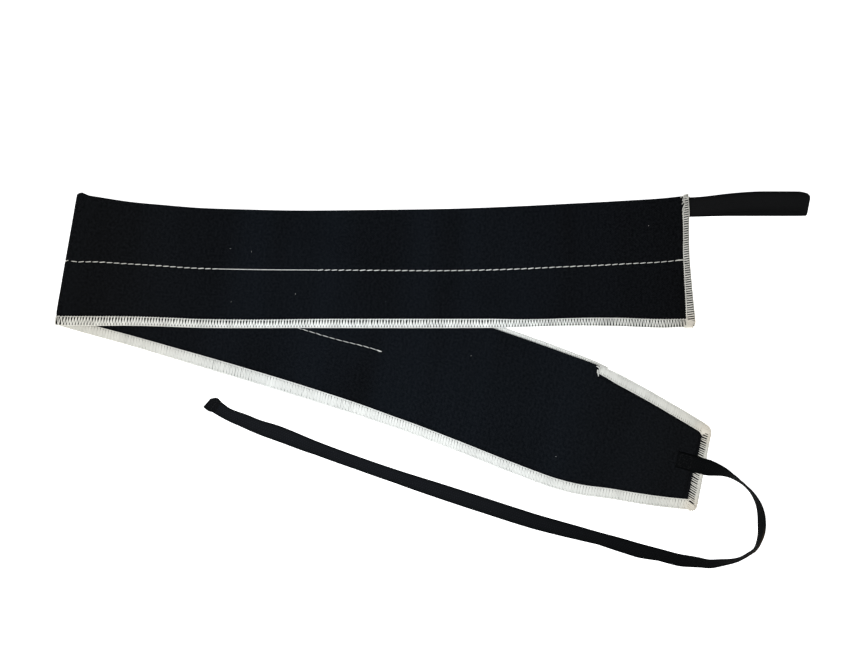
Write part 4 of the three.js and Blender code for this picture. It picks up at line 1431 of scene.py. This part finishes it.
# Centre seam: a running stitch that shows on both faces
# In its shapes Y runs along the seam. Its kinds are the two below.
dashStitch, unbrokenStitch = 0, 1
seam = {
    "pitch": 4.1,
    "dashes": {1: (3.6, 0.25, 0.09), -1: (3.95, 0.17, 0.05)},  # face: length, radius, tilt
    "dashSink": 0.5,
    "unbrokenRadius": 0.225,
    "lift": 1.0,
    "start": 7.0,
    "stationStep": 1.5,
    "lookAhead": 0.5,
    "unbroken": (217, 274),   # place along the strip where the thread lies unbroken
    "sizeJitter": 0.05,
    "turnJitter": 1.5,
    "seed": 31,
}


def seamDash(face, length, radius, tilt):
    sink = seam["dashSink"]
    profile = ((0, -sink, 0.4), (0.08, -0.1 * sink, 0.85), (0.3, 0.05, 1.05))  # share, rise, thickness
    profile = [*profile, *((1 - share, rise, size) for share, rise, size in reversed(profile))]
    points = []
    for share, rise, _ in profile:
        y = mix(-length / 2, length / 2, share)
        points.append((-tilt * y, y, face * (seam["lift"] + rise)))
    return strand("seamDash", points, [radius * size for *_, size in profile], 6)


def seamShapes(face):
    unbroken = strand("seamRun", [(0, y, face * (seam["lift"] + rise)) for y, rise in (
        (-2.3, -0.02), (-0.8, 0.02), (0.8, 0.02), (2.3, -0.02))], [seam["unbrokenRadius"]] * 4, 6)
    return {
        "Dash": (seamDash(face, *seam["dashes"][face]), only(dashStitch)),
        "Unbroken": (unbroken, only(unbrokenStitch)),
    }


def seamStations():
    stations = []
    count = round((seamEnd - seam["start"]) / seam["stationStep"])

    def seamPoint(place, row, lift=0):
        return clothPoint(across(row, seamShare(place) * rowWidth(row)), row["turn"], lift)

    for step in range(count + 1):
        place = mix(seam["start"], seamEnd, step / count)
        row, ahead = stripRow(place), stripRow(place + seam["lookAhead"])
        here = seamPoint(place, row)
        along = (seamPoint(place + seam["lookAhead"], ahead) - here).normalized()
        up = (seamPoint(place, row, 1) - here).normalized()
        kind = unbrokenStitch if seam["unbroken"][0] < place < seam["unbroken"][1] else dashStitch
        stations.append((here, along, up, (kind, 1, 1)))
    return stations


def sewSeam(name, face):
    shapes = seamShapes(face)
    return sewAlong(name, seamStations(), stitchTree(name + "Stitches", shapes), shapes, {
        "Pitch": seam["pitch"] * mm, "Size jitter": seam["sizeJitter"], "Turn jitter": seam["turnJitter"],
        "Seed": seam["seed"], "Thread": threads["greyThread"]})


seamFront = sewSeam("seamFront", 1)
seamBack = sewSeam("seamBack", -1)

# Loose threads where the edgings begin and end (frame, mm; the last number is the radius)
looseEnds = {
    "cornerTail": [(146.6, 91.2, 6.5, 0.3), (148.2, 91.6, 6.3, 0.28), (149.5, 91.9, 6.0, 0.12)],
    "cornerKnot": [(146.4, 89.9, 6.5, 0.3), (147.4, 90.5, 6.9, 0.42), (148.6, 89.9, 6.8, 0.36),
                   (149.9, 90.7, 6.3, 0.26)],
    "cornerCurl": [(144.8, 90.0, 6.4, 0.2), (144.9, 90.7, 6.5, 0.28), (145.7, 91.0, 6.6, 0.3),
                   (146.3, 90.4, 6.7, 0.28), (145.9, 89.4, 6.5, 0.2)],
    "cornerLoop": [(147.4, 89.4, 6.6, 0.3), (146.3, 88.9, 6.7, 0.26), (145.6, 88.7, 6.5, 0.24),
                   (146.4, 88.0, 6.6, 0.3), (146.0, 87.1, 6.5, 0.26), (145.3, 86.2, 6.3, 0.16)],
    "cornerStrand": [(147.4, 86.6, 6.5, 0.34), (146.7, 85.5, 6.6, 0.4), (146.0, 83.9, 6.5, 0.34),
                     (145.6, 82.2, 6.3, 0.18)],
    "cornerEnd": [(147.2, 84.1, 6.5, 0.3), (146.4, 82.6, 6.6, 0.34), (145.9, 81.2, 6.4, 0.3),
                  (145.7, 80.0, 6.2, 0.2)],
    "seamStart": [(141.9, 53.4, 3.35, 0.22), (143.6, 53.7, 3.5, 0.4), (145.2, 53.8, 3.55, 0.36),
                  (146.8, 53.8, 3.4, 0.3)],
    "seamStop": [(-33.2, 1.2, 3.15, 0.2), (-32.0, 0.8, 3.3, 0.38), (-31.0, 0.4, 3.3, 0.4),
                 (-30.0, 0.1, 3.1, 0.2)],
    "taperKnot": [(95.7, -8.4, 3.3, 0.3), (96.9, -8.9, 3.8, 0.5), (97.7, -10.1, 3.9, 0.52),
                  (96.9, -11.0, 3.7, 0.42)],
    "taperTail": [(96.4, -10.4, 3.6, 0.42), (96.4, -11.6, 3.75, 0.46), (96.7, -13.0, 3.7, 0.42),
                  (96.9, -14.3, 3.45, 0.2)],
}


# Lint on the cloth: where it lies (frame, mm), its length and its direction in degrees.
lintSpecks = [
    (-118.4, 60.3, 0.7, 20), (-106.1, 58.5, 0.8, 110), (-80.3, 33.9, 1.5, 70), (-117.8, 29.2, 0.7, 60),
    (-21.1, 83.1, 1.1, 100), (22.3, -2.4, 0.9, 30), (126.0, 73.8, 0.9, 85),
]


def lintStrand(x, y, length, degrees):
    _, spot, _, _ = wrapCloth.ray_cast(Vector((x * mm, y * mm, 0.1)), Vector((0, 0, -1)))
    ahead = turned((length / 3, 0), math.radians(degrees))
    return [(x + ahead.x * share, y + ahead.y * share, spot.z / mm + 0.05 * (2 - share * share),
             0.06 - 0.02 * share ** 2) for share in (-1, -0.3, 0.4, 1)]


def makeLooseEnds():
    specks = {"lint" + str(number): lintStrand(*speck) for number, speck in enumerate(lintSpecks)}
    perSpan, strands = 5, []
    for name, points in {**looseEnds, **specks}.items():
        line = smoothLine([Vector((x, y, z)) * mm for x, y, z, _ in points], perSpan)
        rows = [(index, radius) for index, (*_, radius) in enumerate(points)]
        radii = [readColumn(rows, 1, step / perSpan) * mm for step in range(len(line))]
        strands.append(threadMesh(name, line, radii, 7))
    return joinStrands("looseThreads", strands, threads["whiteThread"])


looseThreads = makeLooseEnds()
for shape in [thing for thing in bpy.data.objects if not thing.users_scene]:
    bpy.data.objects.remove(shape)  # the stitch shapes have done their work

# Sewn-down end of the tie
anchor = {
    "sag": 1.05,              # the tape bends down a little on its way over the tip
    "rings": 22,
    "onCloth": 2.45,          # height of its underside on the cloth
    "edgingRise": 0.35,       # and how much higher it passes over the tip's edging
    "edgingFrom": 7.5,
    "edgingRamp": 1.5,
    "exitHeight": 2.8,
    "exitFrom": 2.2,
    "exitRamp": 2,
    "waveFrom": 1,            # from here on it follows the waves of the cloth
    "waveRamp": 3,
    "stitchRadius": 0.17,
    "stitch": 1.7,
    "stitchPitch": 2.3,
    "stitchLift": 0.04,
    "box": (15.4, 8.6, 3.5),  # from and to, before the tip's edge, and half its width
}


def anchorPoint(back, aside=0.0, lift=0.0):  # back: millimetres before the tip's edge
    reach = tape["anchorLength"] + tape["anchorGap"]
    flat = tieExit - anchorAhead * back
    side = Vector((-anchorAhead.y, anchorAhead.x))
    risen = anchor["edgingRise"] * ease((anchor["edgingFrom"] - back) / anchor["edgingRamp"])
    low = anchor["onCloth"] + risen + waveAt(flat) * ease((back - anchor["waveFrom"]) / anchor["waveRamp"])
    height = mix(low, anchor["exitHeight"], ease((anchor["exitFrom"] - back) / anchor["exitRamp"]))
    height += tie["thickness"] / 2
    sag = anchor["sag"] * ease(1 - back / reach)
    return inFrame(flat.x + side.x * aside, flat.y + side.y * aside - sag, height + lift)


def anchorRings():
    section = tapeSection(tape["tieWidth"], tie["thickness"], 0)
    rings, centres = [], []
    for step in range(anchor["rings"] + 1):
        back = (tape["anchorLength"] + tape["anchorGap"]) * (1 - step / anchor["rings"])
        rings.append([anchorPoint(back, x, z) for x, z in section])
        centres.append(anchorPoint(back))
    return rings, centres


dashProfile = ((-0.5, 0.16, 0.5), (-0.25, 0, 1), (0.25, 0, 1), (0.5, 0.16, 0.5))  # share, sink, thickness


# Short dashes along lines, as one piece. Each line: start, end, and what puts its points on the tape.
def makeDashes(name, lines, radius, length, pitch, thread):
    strands = []
    for start, end, place in lines:
        reach = (Vector(end) - Vector(start)).length
        count = max(round(reach / pitch), 1)
        for step in range(count):
            middle = (step + 0.5) / count
            points = []
            for share, sink, _ in dashProfile:
                spot = Vector(start).lerp(Vector(end), middle + share * length / reach)
                points.append(place(spot, -sink))
            radii = [radius * mm * size for *_, size in dashProfile]
            strands.append(threadMesh("dash", points, radii, 6))
    return joinStrands(name, strands, thread)


anchorList, anchorLine = anchorRings()
tieAnchor = tapePiece("tieAnchor", anchorList, tie["freeWidth"], alongLine(anchorLine))
tieAnchor.data.materials.append(weaves["anchorWeave"])
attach(tieAnchor, "root")
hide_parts("tie_anchor")


def onAnchor(spot, lift):
    return anchorPoint(spot.x, spot.y, tie["thickness"] / 2 + anchor["stitchLift"] + lift)


# A box of stitches with its two diagonals, in black thread
boxFrom, boxTo, boxHalf = anchor["box"]
boxCorners = [(boxFrom, boxHalf), (boxTo, boxHalf), (boxTo, -boxHalf), (boxFrom, -boxHalf)]
boxLines = [(boxCorners[side], boxCorners[(side + 1) % 4], onAnchor) for side in range(4)]
boxLines += [(boxCorners[side], boxCorners[side + 2], onAnchor) for side in range(2)]
anchorStitches = makeDashes("anchorStitches", boxLines, anchor["stitchRadius"], anchor["stitch"],
                            anchor["stitchPitch"], threads["blackThread"])

# Hem at the tie's far end: the tape is turned back on itself and sewn down
# how far the right and the left edge reach, then shares of the width and the thickness
hemSteps = [
    (-0.3, -0.3, 1, 1), (0.8, 0.8, 1, 1), (1.4, 1.4, 1, 1.02), (1.75, 1.7, 1.02, 1.7),
    (2.2, 2.1, 1.03, 1.95), (3.4, 3.5, 1.03, 1.95), (4.5, 5.0, 1.02, 1.9), (5.3, 6.0, 0.99, 1.75),
    (5.8, 6.5, 0.96, 1.35), (6.0, 6.7, 0.94, 0.8),
]
hem = {
    "unrolled": 22,           # degrees, how much flatter the hem lies than the tape before it
    "unrolledOver": 3,
    "slid": 0.12,
    "cupShare": 0.7,
    "cornerCut": 1.9,         # the upper corner is turned in
    "cutShare": 0.26,
    "cutFrom": 3.4,
    "cutOver": 2,
    "lift": 0.12,
    "foldLift": 0.1,          # share of the thickness
    "stitchStep": 4,          # the row of hemSteps where the stitch row runs
    "plies": 1.9,             # how much thicker than one tape it is there
    "stitchHalf": 3.9,
    "stitchRadius": 0.187,
    "stitch": 1.2,
    "stitchPitch": 1.9,
    "stitchLift": 0.1,
    "arch": 0.275,            # the stitches follow the cupped tape
}


def hemPoint(step, x, z):
    ahead, side, up = tieAxes[-1]
    right, left, width, thick = hemSteps[step]
    opened = ease(right / hem["unrolledOver"])
    turnBack = Quaternion(ahead, math.radians(-hem["unrolled"] * opened))
    side, up = turnBack @ side, turnBack @ up
    share = clamp(0.5 + x / tie["freeWidth"])
    cutShare = clamp(1 - share / hem["cutShare"]) * ease((right - hem["cutFrom"]) / hem["cutOver"])
    cut = hem["cornerCut"] * cutShare
    lift = z * thick + hem["lift"] + hem["foldLift"] * tie["thickness"] * thick
    aside = x * width + hem["slid"] * opened
    return tieLine[-1] + (side * aside + up * lift + ahead * (mix(right, left, share) - cut)) * mm


def hemRings():
    section = tapeSection(tie["freeWidth"], tie["thickness"], tie["cup"] * hem["cupShare"])
    return [[hemPoint(step, x, z) for x, z in section] for step in range(len(hemSteps))]


tieHem = tapePiece("tieHem", hemRings(), tie["freeWidth"], [right * mmInCm for right, *_ in hemSteps])
tieHem.data.materials.append(weaves["hemWeave"])
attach(tieHem, "root")
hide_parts("tie_end_hem")


def onHem(spot, lift):
    arch = hem["arch"] * (1 - (2 * spot.y / tie["freeWidth"]) ** 2)
    above = (hem["stitchLift"] + lift) / hem["plies"] + arch
    return hemPoint(hem["stitchStep"], spot.y, tie["thickness"] / 2 + above)


hemRow = [((0, -hem["stitchHalf"]), (0, hem["stitchHalf"]), onHem)]
# the hem's stitches are in the paler thread, a painted highlight along the crease
hemStitches = makeDashes("hemStitches", hemRow, hem["stitchRadius"], hem["stitch"], hem["stitchPitch"],
                         threads["hemHighlightThread"])

# Thumb loop: one tape laid double under the cloth's corner
loopCrown = [
    (0.12, 0.3), (0.2, 0.5), (0.3, 0.74), (0.42, 0.9), (0.58, 0.99), (0.74, 1), (0.87, 0.91),
    (0.96, 0.69), (1, 0.42), (0.975, 0.15), (0.92, 0),
]


def loopRings():
    thick, tail = tape["thickness"], -tape["loopTail"]
    knots = [Vector((2 * thick, 2 * thick))]
    for along, height in loopCrown:
        knots.append(Vector((along * tape["loopLength"], height * tape["loopHeight"])))
    outer = smoothLine(knots, 6)
    middle = []
    for point, ahead in zip(outer, tangentsOf(outer)):
        middle.append(point + Vector((ahead.y, -ahead.x)) * (thick / 2))
    middle = [point for point in middle if point.y >= thick / 2 - 0.01]
    upperTail = [Vector((x, 1.5 * thick)) for x in (tail, tail / 2, 0)]
    lowerTail = [Vector((x, 0.5 * thick)) for x in (*range(60, -1, -10), tail / 2, tail)]
    line = smoothLine([*upperTail, *middle[::3], *lowerTail], 3)
    return [loopRing(point, Vector((-ahead.y, ahead.x))) for point, ahead in zip(line, tangentsOf(line))]


def loopRing(point, normal):
    place = across(squareEnd, tape["loopFromCorner"])
    alwaysOut, alwaysHigh = tape["loopPlyAlways"]
    ring = []
    for y, lift in tapeSection(tape["loopWidth"], 0.9 * tape["thickness"], 0):
        x, z = point.x + normal.x * lift, point.y + normal.y * lift
        out = ease(x / tape["loopShiftLength"])
        beforeEnd = clamp((1 - x / tape["loopLength"]) / tape["loopCornerLength"]) ** tape["loopCornerCurve"]
        upperPly = ease((z / tape["loopHeight"] - tape["loopPlyFrom"]) / tape["loopPlyFade"])
        if x < alwaysOut and z > alwaysHigh:
            upperPly = 1
        rise = tape["loopRise"] * ease(x / tape["loopRiseLength"])
        shiftedY = y + tape["loopPlyShift"] * out * beforeEnd * upperPly + rise
        slanted = x + tape["loopEndSlant"] * y * ease(x / tape["loopLength"])
        ring.append(inFrame(place.x + slanted, place.y + shiftedY, z))
    return ring


loopList = loopRings()
loopLine = [sum(ring, Vector()) / len(ring) for ring in loopList]
thumbLoop = tapePiece("thumbLoop", loopList, tape["loopWidth"], alongLine(loopLine))
thumbLoop.data.materials.append(weaves["loopWeave"])
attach(thumbLoop, "root")
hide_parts("thumb_loop")
print("tapes done")

# Floor and light: a white table that glows a little, so it stays as evenly white as in the photo
studio = {
    "floorSize": 6.0,
    "floorColour": (0.9, 0.9, 0.9, 1),
    "floorGlow": 0.9,
    "floorGloss": {"Specular IOR Level": 0.1, "Roughness": 0.8},
    "worldStrength": 0.45,
    "keyEnergy": 3.7,
    "keySize": 0.45,
    "keyPlace": (-0.03, -0.12, 0.55),
    "keyColour": (0.96, 1.0, 1.0),
}


def makeStudio():
    mesh = bpy.data.meshes.new("floor")
    size = studio["floorSize"] / 2
    corners = [(-size, -size, 0), (size, -size, 0), (size, size, 0), (-size, size, 0)]
    mesh.from_pydata(corners, [], [(0, 1, 2, 3)])
    floor = linkPiece("floor", mesh)
    material, _, _ = newMaterial("floorWhite", {
        "Base Color": studio["floorColour"], **studio["floorGloss"],
        "Emission Color": (1, 1, 1, 1), "Emission Strength": studio["floorGlow"]})
    floor.data.materials.append(material)
    world = bpy.data.worlds.new("studio")
    world.use_nodes = True
    sky = world.node_tree.nodes["Background"].inputs
    sky["Color"].default_value = (1, 1, 1, 1)
    sky["Strength"].default_value = studio["worldStrength"]
    bpy.context.scene.world = world
    lamp = bpy.data.lights.new("key", "AREA")
    lamp.energy = studio["keyEnergy"]
    lamp.size = studio["keySize"]
    lamp.color = studio["keyColour"]
    key = bpy.data.objects.new("key", lamp)
    key.location = studio["keyPlace"]
    key.rotation_euler = (Vector((0, 0, 0)) - key.location).to_track_quat("-Z", "Y").to_euler()
    bpy.context.scene.collection.objects.link(key)
    bpy.context.scene.view_settings.view_transform = "Standard"


makeStudio()
print("studio done")
